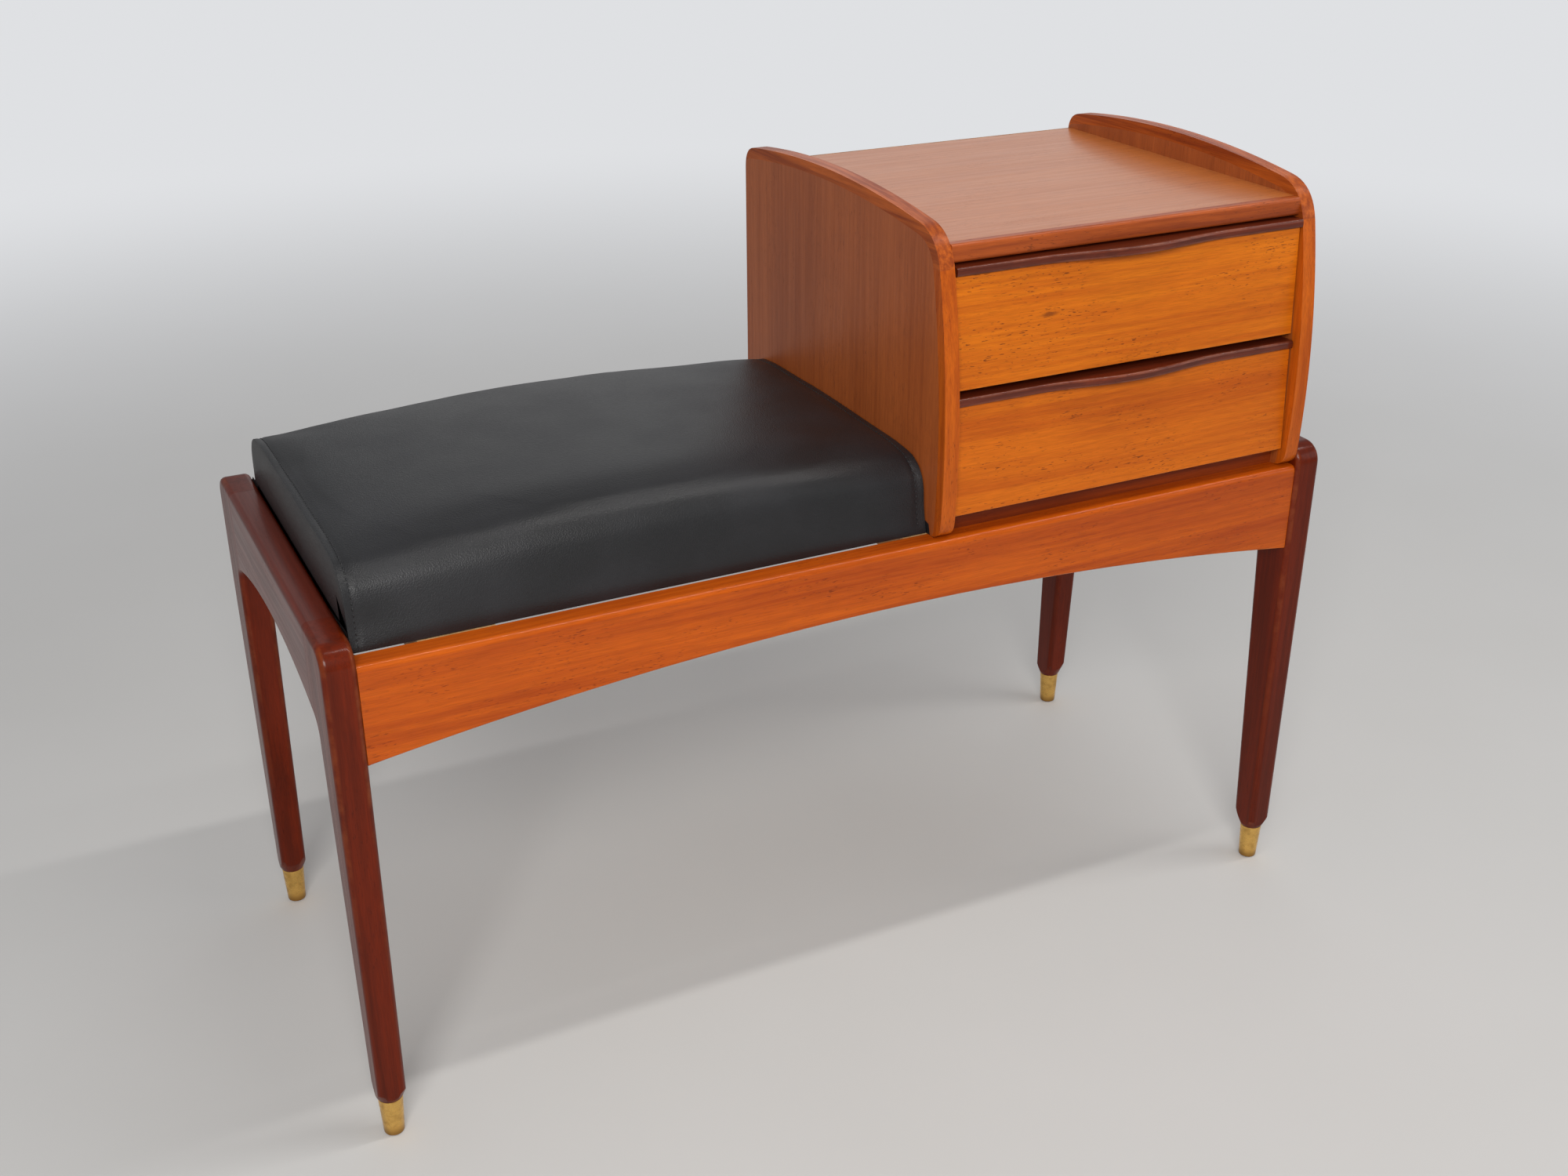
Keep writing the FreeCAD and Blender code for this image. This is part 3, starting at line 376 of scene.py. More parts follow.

# Wear along the arrises: the crest of a rounding rubbed paler and duller, in uneven lengths. On the
# side lippings the worn colour is near white and at full strength, so there this pale crest is also
# a painted highlight.
arris_wear_and_highlight, given, ending = new_group(
    "arris wear and highlight",
    [("Colour", "Color", (0.5, 0.2, 0.1, 1)), ("Worn", "Color", (0.7, 0.4, 0.2, 1)),
     ("Roughness", "Float", 0.4), ("Amount", "Float", 0.5)],
    [("Colour", "Color"), ("Roughness", "Float")])
crest = add(arris_wear_and_highlight, "Attribute", attribute_name="arris").outputs["Fac"]
place = add(arris_wear_and_highlight, "TexCoord").outputs["Object"]
uneven = step_up(arris_wear_and_highlight, cloud(arris_wear_and_highlight, place, scale=38, detail=4, roughness=0.65),
                 0.36, 0.66)
worn = maths(arris_wear_and_highlight, "MULTIPLY", maths(arris_wear_and_highlight, "MULTIPLY", maths(
    arris_wear_and_highlight, "POWER", crest, 1.6), uneven), given["Amount"])
hand_out(arris_wear_and_highlight, ending, {
    "Colour": tint(arris_wear_and_highlight, worn, given["Colour"], given["Worn"]),
    "Roughness": maths(arris_wear_and_highlight, "MULTIPLY_ADD", worn, 0.12, given["Roughness"])})

GRAIN_TURN = {"x": (0, 0, 0), "y": (0, 0, math.pi / 2), "z": (0, math.pi / 2, 0)}


def new_finish(name):
    """An empty material with a Principled shader."""
    finish = bpy.data.materials.new(name)
    finish.use_nodes = True
    tree = finish.node_tree
    tree.nodes.clear()
    shader = tree.nodes.new("ShaderNodeBsdfPrincipled")
    tree.links.new(shader.outputs["BSDF"], tree.nodes.new("ShaderNodeOutputMaterial").inputs[0])
    return finish, tree, shader


def lay_grain(tree, along, pale, deep, figure, pores, roughness, shift=(0, 0, 0)):
    """The figure of a wood, laid along one axis and shifted to its own part of the board."""
    place = add(tree, "TexCoord").outputs["Object"]
    along_grain = add(tree, "Mapping", {"Vector": place, "Location": shift,
                                        "Rotation": GRAIN_TURN[along]}).outputs[0]
    return place_group(tree, teak_grain, {
        "Along": along_grain, "Pale": paint(*pale), "Deep": paint(*deep), "Figure": figure,
        "Pores": pores, "Roughness": roughness})


def feed(tree, shader, colour, roughness, height=None, strength=0.0, depth=0.0):
    """Feeds a colour, a roughness and the height of a fine relief to a shader."""
    tree.links.new(colour, shader.inputs["Base Color"])
    tree.links.new(roughness, shader.inputs["Roughness"])
    if height is not None:
        relief = add(tree, "Bump", {"Height": height, "Strength": strength, "Distance": depth})
        tree.links.new(relief.outputs[0], shader.inputs["Normal"])


def teak(name, along, pale, deep, worn, figure=0.6, pores=0.6, roughness=0.36, gloss=0.3,
         coat=0.0, wear=0.5, shift=(0, 0, 0)):
    """Oiled and lacquered teak with its grain along one axis."""
    finish, tree, shader = new_finish(name)
    grain = lay_grain(tree, along, pale, deep, figure, pores, roughness, shift)
    rubbed = place_group(tree, arris_wear_and_highlight, {
        "Colour": grain["Colour"], "Worn": paint(*worn), "Roughness": grain["Roughness"],
        "Amount": wear})
    feed(tree, shader, rubbed["Colour"], rubbed["Roughness"], grain["Height"], 0.35, 0.0003)
    shader.inputs["Specular IOR Level"].default_value = gloss
    shader.inputs["Coat Weight"].default_value = coat
    shader.inputs["Coat Roughness"].default_value = 0.16
    return finish


leg_teak = teak("stained teak legs", "z", DARK_PALE, DARK_DEEP, WORN_DARK, figure=0.34, pores=0.35,
                roughness=0.28, gloss=0.08, coat=0.2, wear=0.35)
for is_front in (True, False):
    for is_left in (True, False):
        make_leg(is_front, is_left, leg_teak)


# Ferrules
# A turned brass cup on each toe, slightly tapered, with a rounded lip and a closed foot. It is
# driven on. Its colour is dulled to brown towards the foot, within 12 mm of the floor.

FERRULE = [(0, 0), (7.3, 0), (8.0, 0.35), (8.3, 1.1), (10.15, 34.6), (10.25, 35.3), (10.05, 35.85),
           (9.6, 36), (6.75, 36), (6.75, 1.5), (0, 1.5)]
ferrules = bmesh.new()
ferrules.verts.layers.float.new("arris")
for leg_x in (-LEG_CENTRE_X, LEG_CENTRE_X):
    for leg_y in (-LEG_CENTRE_Y, LEG_CENTRE_Y):
        cup = as_piece(turned(FERRULE, leg_x, leg_y, steps=64), "cup")
        ferrules.from_mesh(cup.data)
        bpy.data.objects.remove(cup)
brass_cups = as_piece(ferrules, "brass_ferrules")
polish(brass_cups)

brass, tree, shader = new_finish("brass")
place = add(tree, "TexCoord").outputs["Object"]
turning = cloud(tree, scaled(tree, place, 60, 60, 2600), detail=2)
tarnish = step_up(tree, cloud(tree, place, scale=160, detail=3), 0.4, 0.75)
height = add(tree, "SeparateXYZ", {0: place}).outputs["Z"]
# Darker and duller towards the foot of each ferrule, within 12 mm of the floor.
darker_at_foot = step_up(tree, height, 0.012, 0.0)
dull = maths(tree, "MAXIMUM", maths(tree, "MULTIPLY", tarnish, 0.35),
             maths(tree, "MULTIPLY", darker_at_foot, 0.75))
feed(tree, shader, tint(tree, dull, paint(230, 184, 102), paint(124, 82, 40)),
     maths(tree, "MULTIPLY_ADD", dull, 0.22, maths(tree, "MULTIPLY_ADD", turning, 0.12, 0.2)),
     turning, 0.25, 0.0002)
shader.inputs["Metallic"].default_value = 1.0
fit(brass_cups, "bench", brass, "brass", "ferrules")


# End rails
# A rail of the same dark teak joins each pair of legs, level with their tops and arched below.
# It meets the legs on slip tenons, and its arrises run on into theirs.


def make_end_rail(side, x, finish):
    steps = 40
    outline = [(JOINT_Y, FRAME_TOP), (-JOINT_Y, FRAME_TOP)]
    for step in range(steps + 1):
        y = JOINT_Y * (2 * step / steps - 1)
        outline.append((y, arch_height(y)))
    board = saw(outline, "x", x - LEG_WIDTH / 2, x + LEG_WIDTH / 2)
    ease(board, DEEP_ARRIS, lambda spot: abs(spot.y) < JOINT_Y - HAIR, segments=4)
    rail = as_piece(board, f"teak_{side}_end_rail")
    polish(rail)
    fit(rail, "bench", finish, "dark_teak", f"{side}_end_rail")


rail_teak = teak("stained teak rails", "y", DARK_PALE, DARK_DEEP, WORN_DARK, figure=0.34,
                 pores=0.35, roughness=0.3, gloss=0.15, coat=0.25, wear=0.35)
make_end_rail("left", -LEG_CENTRE_X, rail_teak)
make_end_rail("right", LEG_CENTRE_X, rail_teak)


# Slip tenons
# Loose tongues of pale hardwood, one at each end of each end rail. They are glued into mortises,
# half in the leg and half in the rail, and are hidden once the frame is together.


def pale_wood(name, along, pale, deep, roughness=0.6, shift=(0, 0, 0)):
    """Plain unfinished hardwood, planed and left from the tool."""
    finish, tree, shader = new_finish(name)
    grain = lay_grain(tree, along, pale, deep, 0.55, 0.22, roughness, shift)
    feed(tree, shader, grain["Colour"], grain["Roughness"], grain["Height"], 0.5, 0.0004)
    return finish


def dress(finish, *names):
    """Gives CAD nodes that keep their shape their own finish."""
    for name in names:
        piece = nodes[name]
        if not piece.material_slots:
            piece.data.materials.append(finish)
        for slot in piece.material_slots:
            slot.material = finish


dress(pale_wood("beech tenons", "y", (206, 170, 122), (176, 134, 88)), "rail_slip_tenons")


# Aprons
# The long rails front and back, in orange teak, arched along the underside and rounded on the
# top outer arris, which is a little worn. Each is tenoned into the legs.

APRON_HALF_LENGTH = 430
APRON_OUTER_Y = 189
APRON_THICKNESS = 20
APRON_TOP = 430
APRON_FOOT = 348
APRON_RISE = 31
APRON_MIDDLE = 390
APRON_ROUNDING = 5
APRON_FOOT_ROUNDING = 1.4
ORANGE_PALE = (196, 90, 8)
ORANGE_DEEP = (154, 58, 4)
WORN_ORANGE = (226, 158, 92)


def make_apron(side, sign, finish):
    steps = 48
    outline = [(APRON_HALF_LENGTH, APRON_TOP), (-APRON_HALF_LENGTH, APRON_TOP)]
    radius = (APRON_HALF_LENGTH ** 2 + APRON_RISE ** 2) / (2 * APRON_RISE)
    for step in range(steps + 1):
        x = APRON_HALF_LENGTH * (2 * step / steps - 1)
        drop = radius - math.sqrt(radius ** 2 - x ** 2)
        outline.append((x, APRON_FOOT + APRON_RISE - drop))
    faces = sorted((sign * APRON_OUTER_Y, sign * (APRON_OUTER_Y - APRON_THICKNESS)))
    board = saw(outline, "y", *faces)
    in_length = APRON_HALF_LENGTH - HAIR
    outer = APRON_OUTER_Y - HAIR
    ease(board, APRON_ROUNDING, lambda spot: abs(spot.x) < in_length and abs(spot.y) > outer
         and spot.z > APRON_TOP - 1, segments=6)
    ease(board, APRON_FOOT_ROUNDING, lambda spot: abs(spot.x) < in_length
         and spot.z < APRON_MIDDLE)
    apron = as_piece(board, f"teak_{side}_apron")
    polish(apron)
    fit(apron, "bench", finish, "orange_teak", f"{side}_apron")


apron_teak = teak("orange teak aprons", "x", ORANGE_PALE, ORANGE_DEEP, WORN_ORANGE, figure=0.32,
                  pores=0.6, roughness=0.34, gloss=0.08, coat=0.35, wear=0.35,
                  shift=(0.31, 0.07, 0.02))
make_apron("front", -1, apron_teak)
make_apron("rear", 1, apron_teak)


# Bearers and corner blocks
# Pale hardwood bearers cross the frame between the aprons and carry the seat and the cabinet.
# A three-cornered block is glued into each corner against racking.

dress(pale_wood("beech bearers", "y", (204, 166, 118), (172, 128, 82), shift=(0.1, 0.3, 0.0)),
      "left_bearer", "middle_bearer", "right_bearer")
dress(pale_wood("beech blocks", "x", (198, 158, 110), (166, 122, 78), shift=(0.5, 0.0, 0.1)),
      "corner_blocks")


# Screws
# Zinc-plated, flat headed wood screws. They are driven up through the bearers, four into the
# seat board and four into the cabinet.

steel, tree, shader = new_finish("zinc plated steel")
place = add(tree, "TexCoord").outputs["Object"]
spangle = cloud(tree, place, scale=900, detail=3)
feed(tree, shader, tint(tree, step_up(tree, spangle, 0.35, 0.7), paint(178, 180, 182),
                        paint(132, 130, 124)), step_up(tree, spangle, 0.3, 0.7, 0.28, 0.48))
shader.inputs["Metallic"].default_value = 1.0
dress(steel, "seat_screws", "cabinet_screws")


# Seat board
# A plywood board under the pad, screwed to the bearers. Only its raw pale edge shows, in the
# thin gap below the cover.


def plywood(name, along, layer_axis, pale, deep, plies=5, thickness=12, base=APRON_TOP):
    """Birch plywood: a quiet face veneer, and its layers in stripes on the cut edges."""
    finish, tree, shader = new_finish(name)
    grain = lay_grain(tree, along, pale, deep, 0.6, 0.12, 0.62)
    place = add(tree, "TexCoord").outputs["Object"]
    through = add(tree, "SeparateXYZ", {0: place}).outputs[layer_axis]
    layer = maths(tree, "MULTIPLY", maths(tree, "SUBTRACT", through, base * MM),
                  math.pi * plies / (thickness * MM))
    stripe = step_up(tree, maths(tree, "SINE", layer), -0.3, 0.3)
    facing = add(tree, "SeparateXYZ", {0: add(tree, "TexCoord").outputs["Normal"]})
    edge = maths(tree, "SUBTRACT", 1.0, maths(tree, "ABSOLUTE", facing.outputs[layer_axis]))
    colour = tint(tree, maths(tree, "MULTIPLY", edge, maths(tree, "MULTIPLY", stripe, 0.55)),
                  grain["Colour"], paint(*deep))
    feed(tree, shader, colour, grain["Roughness"], grain["Height"], 0.4, 0.0004)
    return finish


dress(plywood("seat plywood", "x", 2, (222, 196, 152), (178, 138, 92)), "seat_board")


# Seat pad
# Foam over the board under a black vinyl cover, drawn tight and tacked underneath. The end
# panels are sewn to the top panel, with a row of stitching just inside each end.

PAD_LEFT = -429.7
PAD_RIGHT = 53.7
PAD_HEM = 430.7
PAD_TUCKED = 420
HEM_HALF = 168.1
PAD_END_TOP = 499
PAD_CROWN = 13
PAD_HALF = 168
PAD_DRAW_IN = 3
PAD_EDGE = 27
PAD_CROSS_CROWN = 4
PAD_SLICES = 24
SHOULDER_STEPS = 8
SHOULDER_TURN = 84
SLACK = 2.2
SPARE = 14
WEAVE = 0.006
COVER_STEPS = 20
COVER_PRESSURE = 4
COVER_STIFFNESS = 40
TACKED_BAND = 5
END_PANELS = ((PAD_LEFT + 1.2, -1), (PAD_RIGHT - 0.7, 1))
PANEL_BULGE = ((1.5, 0.35), (3, 0.35), (5, 0.3), (8, 0.15))
SWELL_LIMIT = 4.5
CALMING = 14
OWN_SHARE = 0.4
SEAMS = (PAD_LEFT + 7.0, PAD_RIGHT - 7.5)
SEAM_WIDTH = 1.6
SEAM_DEPTH = 0.9
SEAM_STEPS = 180
SEAM_START = -16
SEAM_SWEEP = 212
BOARD_GAP = 0.3
BELOW_PAD = 400
STITCH_PITCH = 4.6
STITCH_LENGTH = 3.4
STITCH_THICKNESS = 1.1


def pad_slice(share):
    """Points of a slice across the pad, from the rear hem over to the front hem."""
    swell = math.sin(math.pi * share)
    half = PAD_HALF - PAD_DRAW_IN * swell - SLACK
    top = PAD_END_TOP + PAD_CROWN * swell - SLACK
    side_top = top - PAD_CROSS_CROWN - PAD_EDGE
    points = [(HEM_HALF, PAD_TUCKED), (HEM_HALF, PAD_HEM + 3), (half, (PAD_HEM + side_top) / 2)]
    for step in range(SHOULDER_STEPS + 1):
        angle = math.radians(SHOULDER_TURN * step / SHOULDER_STEPS)
        points.append((half - PAD_EDGE * (1 - math.cos(angle)),
                       side_top + PAD_EDGE * math.sin(angle)))
    shoulder = points[-1]
    for step in range(1, SHOULDER_STEPS):
        y = shoulder[0] * (1 - step / SHOULDER_STEPS)
        points.append((y, top - (top - shoulder[1]) * (y / shoulder[0]) ** 2))
    points.append((0.0, top))
    return points + [(-y, z) for y, z in reversed(points[:-1])]


def loft_pad():
    """The stuffed form of the pad, a little under size, as a closed mesh."""
    pad = bmesh.new()
    rings = []
    for step in range(-1, PAD_SLICES + 2):
        share = min(max(step / PAD_SLICES, 0), 1)
        spare = (step > PAD_SLICES) * SPARE - (step < 0) * SPARE
        x = PAD_LEFT + share * (PAD_RIGHT - PAD_LEFT) + spare
        rings.append([pad.verts.new((x * MM, y * MM, z * MM)) for y, z in pad_slice(share)])
    for low_ring, high_ring in zip(rings, rings[1:]):
        for here in range(len(low_ring)):
            pad.faces.new((low_ring[here - 1], low_ring[here], high_ring[here],
                           high_ring[here - 1]))
    pad.faces.new(list(reversed(rings[0])))
    pad.faces.new(rings[-1])
    bmesh.ops.recalc_face_normals(pad, faces=pad.faces)
    return pad


pad = as_piece(loft_pad(), "seat_pad_cover")
remesh = pad.modifiers.new("even weave", "REMESH")
remesh.mode = "VOXEL"
remesh.voxel_size = WEAVE
settle(pad)
before = [vertex.co.copy() for vertex in pad.data.vertices]
held = pad.vertex_groups.new(name="tacked")
held.add([vertex.index for vertex in pad.data.vertices
          if vertex.co.z < (PAD_HEM + TACKED_BAND) * MM], 1.0, "REPLACE")
cloth = pad.modifiers.new("cover", "CLOTH")
cloth.settings.vertex_group_mass = "tacked"
cloth.settings.use_pressure = True
cloth.settings.uniform_pressure_force = COVER_PRESSURE
cloth.settings.tension_stiffness = COVER_STIFFNESS
cloth.settings.compression_stiffness = COVER_STIFFNESS
cloth.settings.bending_stiffness = 2
cloth.settings.effector_weights.gravity = 0
for step in range(1, COVER_STEPS + 1):
    bpy.context.scene.frame_set(step)
settle(pad)
bpy.context.scene.frame_set(1)
moves = []
for vertex, start in zip(pad.data.vertices, before):
    move = vertex.co - start
    moves.append(move * min(1.0, SWELL_LIMIT * MM / max(move.length, 1e-9)))
neighbours = [[] for _ in moves]
for edge in pad.data.edges:
    for here, there in (edge.vertices, reversed(edge.vertices)):
        neighbours[here].append(there)
for _ in range(CALMING):
    moves = [move * OWN_SHARE + sum((moves[other] for other in beside), Vector()) * (
        1 - OWN_SHARE) / len(beside) for move, beside in zip(moves, neighbours)]
for vertex, start, move in zip(pad.data.vertices, before, moves):
    vertex.co = start + move
subdivide = pad.modifiers.new("fine", "SUBSURF")
subdivide.levels = subdivide.render_levels = 1
settle(pad)
normals = [vertex.normal.copy() for vertex in pad.data.vertices]
for vertex, normal in zip(pad.data.vertices, normals):
    spot = vertex.co.copy()
    pull = sum(math.exp(-((spot.x / MM - seam) / SEAM_WIDTH) ** 2) for seam in SEAMS)
    if spot.z > (PAD_HEM + TACKED_BAND + 1) * MM:
        spot -= normal * pull * SEAM_DEPTH * MM
    spot.y = min(max(spot.y, -PAD_HALF * MM), PAD_HALF * MM)
    vertex.co = spot
trimmed = bmesh.new()
trimmed.from_mesh(pad.data)


def trim(place, away):
    """Cuts the pad off at a plane, and returns the new edge."""
    whole = trimmed.verts[:] + trimmed.edges[:] + trimmed.faces[:]
    cut = bmesh.ops.bisect_plane(trimmed, geom=whole, plane_co=place, plane_no=away,
                                 clear_outer=True)
    return [edge for edge in cut["geom_cut"] if isinstance(edge, bmesh.types.BMEdge)]


bmesh.ops.triangle_fill(trimmed, edges=trim((0, 0, PAD_HEM * MM), (0, 0, -1)), use_beauty=True)
for end_x, way in END_PANELS:
    panel = bmesh.ops.contextual_create(
        trimmed, geom=trim((end_x * MM, 0, 0), (way, 0, 0)))["faces"]
    for width, rise in PANEL_BULGE:
        bmesh.ops.inset_individual(trimmed, faces=panel, thickness=width * MM, depth=0)
        for vertex in panel[0].verts:
            vertex.co.x += way * rise * MM
for vertex in trimmed.verts:
    if vertex.co.z < (FRAME_TOP + 1) * MM:
        vertex.co.x = max(vertex.co.x, PAD_LEFT * MM)
bmesh.ops.recalc_face_normals(trimmed, faces=trimmed.faces)
trimmed.to_mesh(pad.data)
trimmed.free()
board_low, board_high = (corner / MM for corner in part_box("seat_board"))
left, front, right, rear = (board_low.x - BOARD_GAP, board_low.y - BOARD_GAP,
                            board_high.x + BOARD_GAP, board_high.y + BOARD_GAP)
shape_with(pad, as_piece(saw([(left, front), (right, front), (right, rear), (left, rear)], "z",
                             BELOW_PAD, board_high.z + BOARD_GAP), "board_space"), "DIFFERENCE")
shade(pad)

vinyl, tree, shader = new_finish("black vinyl")
place = add(tree, "TexCoord").outputs["Object"]
leather = add(tree, "TexVoronoi", {"Vector": place, "Scale": 900}, feature="F1").outputs["Distance"]
creases = cloud(tree, place, scale=420, detail=4, roughness=0.6)
rubbed_patches = step_up(tree, cloud(tree, place, scale=14, detail=3), 0.35, 0.7)
pebble = maths(tree, "MULTIPLY_ADD", leather, 0.7, maths(tree, "MULTIPLY", creases, 0.5))
feed(tree, shader, tint(tree, rubbed_patches, paint(20, 20, 22), paint(27, 27, 30)),
     maths(tree, "MULTIPLY_ADD", rubbed_patches, 0.06, maths(
         tree, "MULTIPLY_ADD", creases, 0.12, 0.36)), pebble, 0.4, 0.0005)
shader.inputs["Specular IOR Level"].default_value = 0.5
fit(pad, "bench", vinyl, "vinyl", "seat_cushion")

thread, tree, shader = new_finish("black thread")
place = add(tree, "TexCoord").outputs["Object"]
twist = add(tree, "TexWave", {"Vector": place, "Scale": 900, "Distortion": 1.0},
            bands_direction="DIAGONAL").outputs["Fac"]
feed(tree, shader, tint(tree, twist, paint(8, 8, 9), paint(34, 34, 37)),
     step_up(tree, twist, 0.0, 1.0, 0.45, 0.65))
surface = BVHTree.FromPolygons([vertex.co for vertex in pad.data.vertices],
                               [face.vertices[:] for face in pad.data.polygons])


def seam_line(x):
    """Points over the pad at a seam, from the rear hem over the top to the front hem."""
    points = []
    for step in range(SEAM_STEPS + 1):
        angle = math.radians(SEAM_START + SEAM_SWEEP * step / SEAM_STEPS)
        aim = Vector((0, math.cos(angle), math.sin(angle)))
        start = Vector((x * MM, 0, FRAME_TOP * MM)) + aim * 0.4
        hit, normal = surface.ray_cast(start, -aim)[:2]
        if hit is not None and hit.z > (PAD_HEM + 4) * MM:
            points.append((hit, normal))
    return points


def sew(seam_points):
    """Stitches along a seam, each a short bowed length of thread."""
    threads = bmesh.new()
    length, thickness = STITCH_LENGTH * MM, STITCH_THICKNESS * MM
    travelled, due = 0.0, 0.0
    for (here, normal), (following, _) in zip(seam_points, seam_points[1:]):
        run = following - here
        span = run.length
        while due < travelled + span:
            middle = here + run * ((due - travelled) / span) + normal * thickness * 0.15
            ahead = run.normalized()
            side = ahead.cross(normal).normalized()
            rings = []
            for place_along, girth in ((-1, 0.25), (-0.7, 0.9), (0, 1.0), (0.7, 0.9), (1, 0.25)):
                centre = middle + ahead * place_along * length / 2 - normal * (
                    thickness * 0.5 * abs(place_along) ** 3)
                rings.append([threads.verts.new(centre + girth * thickness / 2 * (
                    side * math.cos(turn * math.pi / 3) + normal * math.sin(turn * math.pi / 3)))
                    for turn in range(6)])
            for low_ring, high_ring in zip(rings, rings[1:]):
                for turn in range(6):
                    threads.faces.new((low_ring[turn - 1], low_ring[turn], high_ring[turn],
                                       high_ring[turn - 1]))
            threads.faces.new(list(reversed(rings[0])))
            threads.faces.new(rings[-1])
            due += STITCH_PITCH * MM
        travelled += span
    bmesh.ops.recalc_face_normals(threads, faces=threads.faces)
    return threads


for label, seam_x in zip(("left", "right"), SEAMS):
    stitches = as_piece(sew(seam_line(seam_x)), f"{label}_pad_stitches")
    for face in stitches.data.polygons:
        face.use_smooth = True
    fit(stitches, "bench", thread, "vinyl")


# Cabinet sides
# Two boards veneered in teak with upright grain, bowed in front and crowned on top. They stand
# on the aprons and bearers and hold the top, the back, the bottom and the drawer runners.

SIDE_BASE = 430
BOW_CENTRE = (559.5, 495)
BOW_RADIUS = 750
CROWN_CENTRE = (20, -411)
CROWN_RADIUS = 1108
SIDE_BACK_Y = 178
LIPPING = 10
LIPPING_JOINT = 654
CORNER_Z = 681.2
CORNER_ROUNDS = (36, 18, 16)
ROUND_REACH = 0.78
TOP_REACH = 0.97
EDGE_STEPS = 28
SIDES = {"left": (54, 67.5), "right": (416.5, 430)}
PANEL_PALE = (170, 88, 38)
PANEL_DEEP = (142, 68, 26)


def bow_y(z, radius):
    return BOW_CENTRE[0] - math.sqrt(radius ** 2 - (z - BOW_CENTRE[1]) ** 2)


def crown_z(y, radius):
    return CROWN_CENTRE[1] + math.sqrt(radius ** 2 - (y - CROWN_CENTRE[0]) ** 2)


def side_edge(inset):
    """The side's front and top edge, from the foot up the bow and over to the back."""
    bow, crown = BOW_RADIUS - inset, CROWN_RADIUS - inset
    front_round, back_round, foot_round = (size - inset for size in CORNER_ROUNDS)
    corner_z = CORNER_Z - inset
    for _ in range(8):
        corner_y = bow_y(corner_z, bow)
        corner_z = crown_z(corner_y, crown)
    points = []
    foot_y = bow_y(SIDE_BASE, bow)
    points += ease_corner((foot_y + foot_round, SIDE_BASE), (foot_y, SIDE_BASE),
                          (bow_y(SIDE_BASE + foot_round, bow), SIDE_BASE + foot_round), 6)
    reach = front_round * ROUND_REACH
    turn_z = corner_z - reach
    low_z = points[-1][1]
    for step in range(1, EDGE_STEPS):
        z = low_z + (turn_z - low_z) * step / EDGE_STEPS
        points.append((bow_y(z, bow), z))
    along = corner_y + reach * TOP_REACH
    points += ease_corner((bow_y(turn_z, bow), turn_z), (corner_y, corner_z),
                          (along, crown_z(along, crown)), 10)
    back = SIDE_BACK_Y - back_round
    for step in range(1, EDGE_STEPS):
        y = along + (back - along) * step / EDGE_STEPS
        points.append((y, crown_z(y, crown)))
    points += ease_corner((back, crown_z(back, crown)), (SIDE_BACK_Y, crown_z(SIDE_BACK_Y, crown)),
                          (SIDE_BACK_Y, crown_z(SIDE_BACK_Y, crown) - back_round), 8)
    return points


panel_teak = teak("teak veneer sides", "z", PANEL_PALE, PANEL_DEEP, WORN_ORANGE, figure=0.36,
                  pores=0.4, roughness=0.36, gloss=0.4, wear=0.2, shift=(0.0, 0.13, 0.4))
for side, (side_low, side_high) in SIDES.items():
    inner = side_edge(LIPPING)
    panel = as_piece(saw(inner + [(SIDE_BACK_Y, SIDE_BASE)], "x", side_low, side_high),
                     f"teak_{side}_cabinet_side")
    polish(panel)
    fit(panel, "bench", panel_teak, "orange_teak", f"cabinet_{side}_side")


# Side lippings
# Solid teak strips glued round the front and top edges of the sides, jointed near the upper front
# corner. Their outer arrises carry a pale line, partly wear from hands and partly a painted
# highlight.

LIP_PALE = (192, 92, 18)
LIP_DEEP = (156, 66, 10)
# The near-white colour of the lippings' outer arrises is partly wear and partly a painted
# highlight.
LIP_WORN_AND_HIGHLIGHT = (246, 204, 156)
LIP_ROUNDING = 3.2
LIP_REACH = 5.5


def split_at(points, height):
    """The part of an edge up to a height, and the part above it, both with the split point."""
    for here, (y, z) in enumerate(points):
        if z >= height:
            earlier = points[here - 1]
            share = (height - earlier[1]) / (z - earlier[1])
            meeting = (earlier[0] + share * (y - earlier[0]), height)
            return points[:here] + [meeting], [meeting] + points[here:]


# The front lipping's pale crest is at full strength: partly wear, partly a painted highlight along
# the outer arris.
front_lip_teak = teak("teak front lipping", "z", LIP_PALE, LIP_DEEP, LIP_WORN_AND_HIGHLIGHT, figure=0.45,
                      pores=0.5, roughness=0.33, gloss=0.2, wear=1.0, shift=(0.2, 0.02, 0.1))
top_lip_teak = teak("teak top lipping", "y", (190, 94, 30), (132, 54, 16), LIP_WORN_AND_HIGHLIGHT, figure=0.55,
                    pores=0.45, roughness=0.33, gloss=0.2, wear=0.8, shift=(0.15, 0.22, 0.3))
for side, (side_low, side_high) in SIDES.items():
    outer_low, outer_high = split_at(side_edge(0), LIPPING_JOINT)
    inner_low, inner_high = split_at(side_edge(LIPPING), LIPPING_JOINT)
    for part, outline, lip_finish in (
            ("front", outer_low + list(reversed(inner_low)), front_lip_teak),
            ("top", outer_high + list(reversed(inner_high)), top_lip_teak)):
        board = saw(outline, "x", side_low, side_high)
        outer_points = [Vector(point) for point in outer_low + outer_high]
        ease(board, LIP_ROUNDING, lambda spot: min((Vector((spot.y, spot.z)) - point).length
                                                   for point in outer_points) < LIP_REACH
             and abs(spot.z - LIPPING_JOINT) > HAIR / 2
             and min(abs(spot.x - side_low), abs(spot.x - side_high)) < HAIR / 2)
        lipping = as_piece(board, f"teak_{side}_{part}_lipping")
        polish(lipping)
        fit(lipping, "bench", lip_finish, "orange_teak", f"{side}_{part}_lipping")


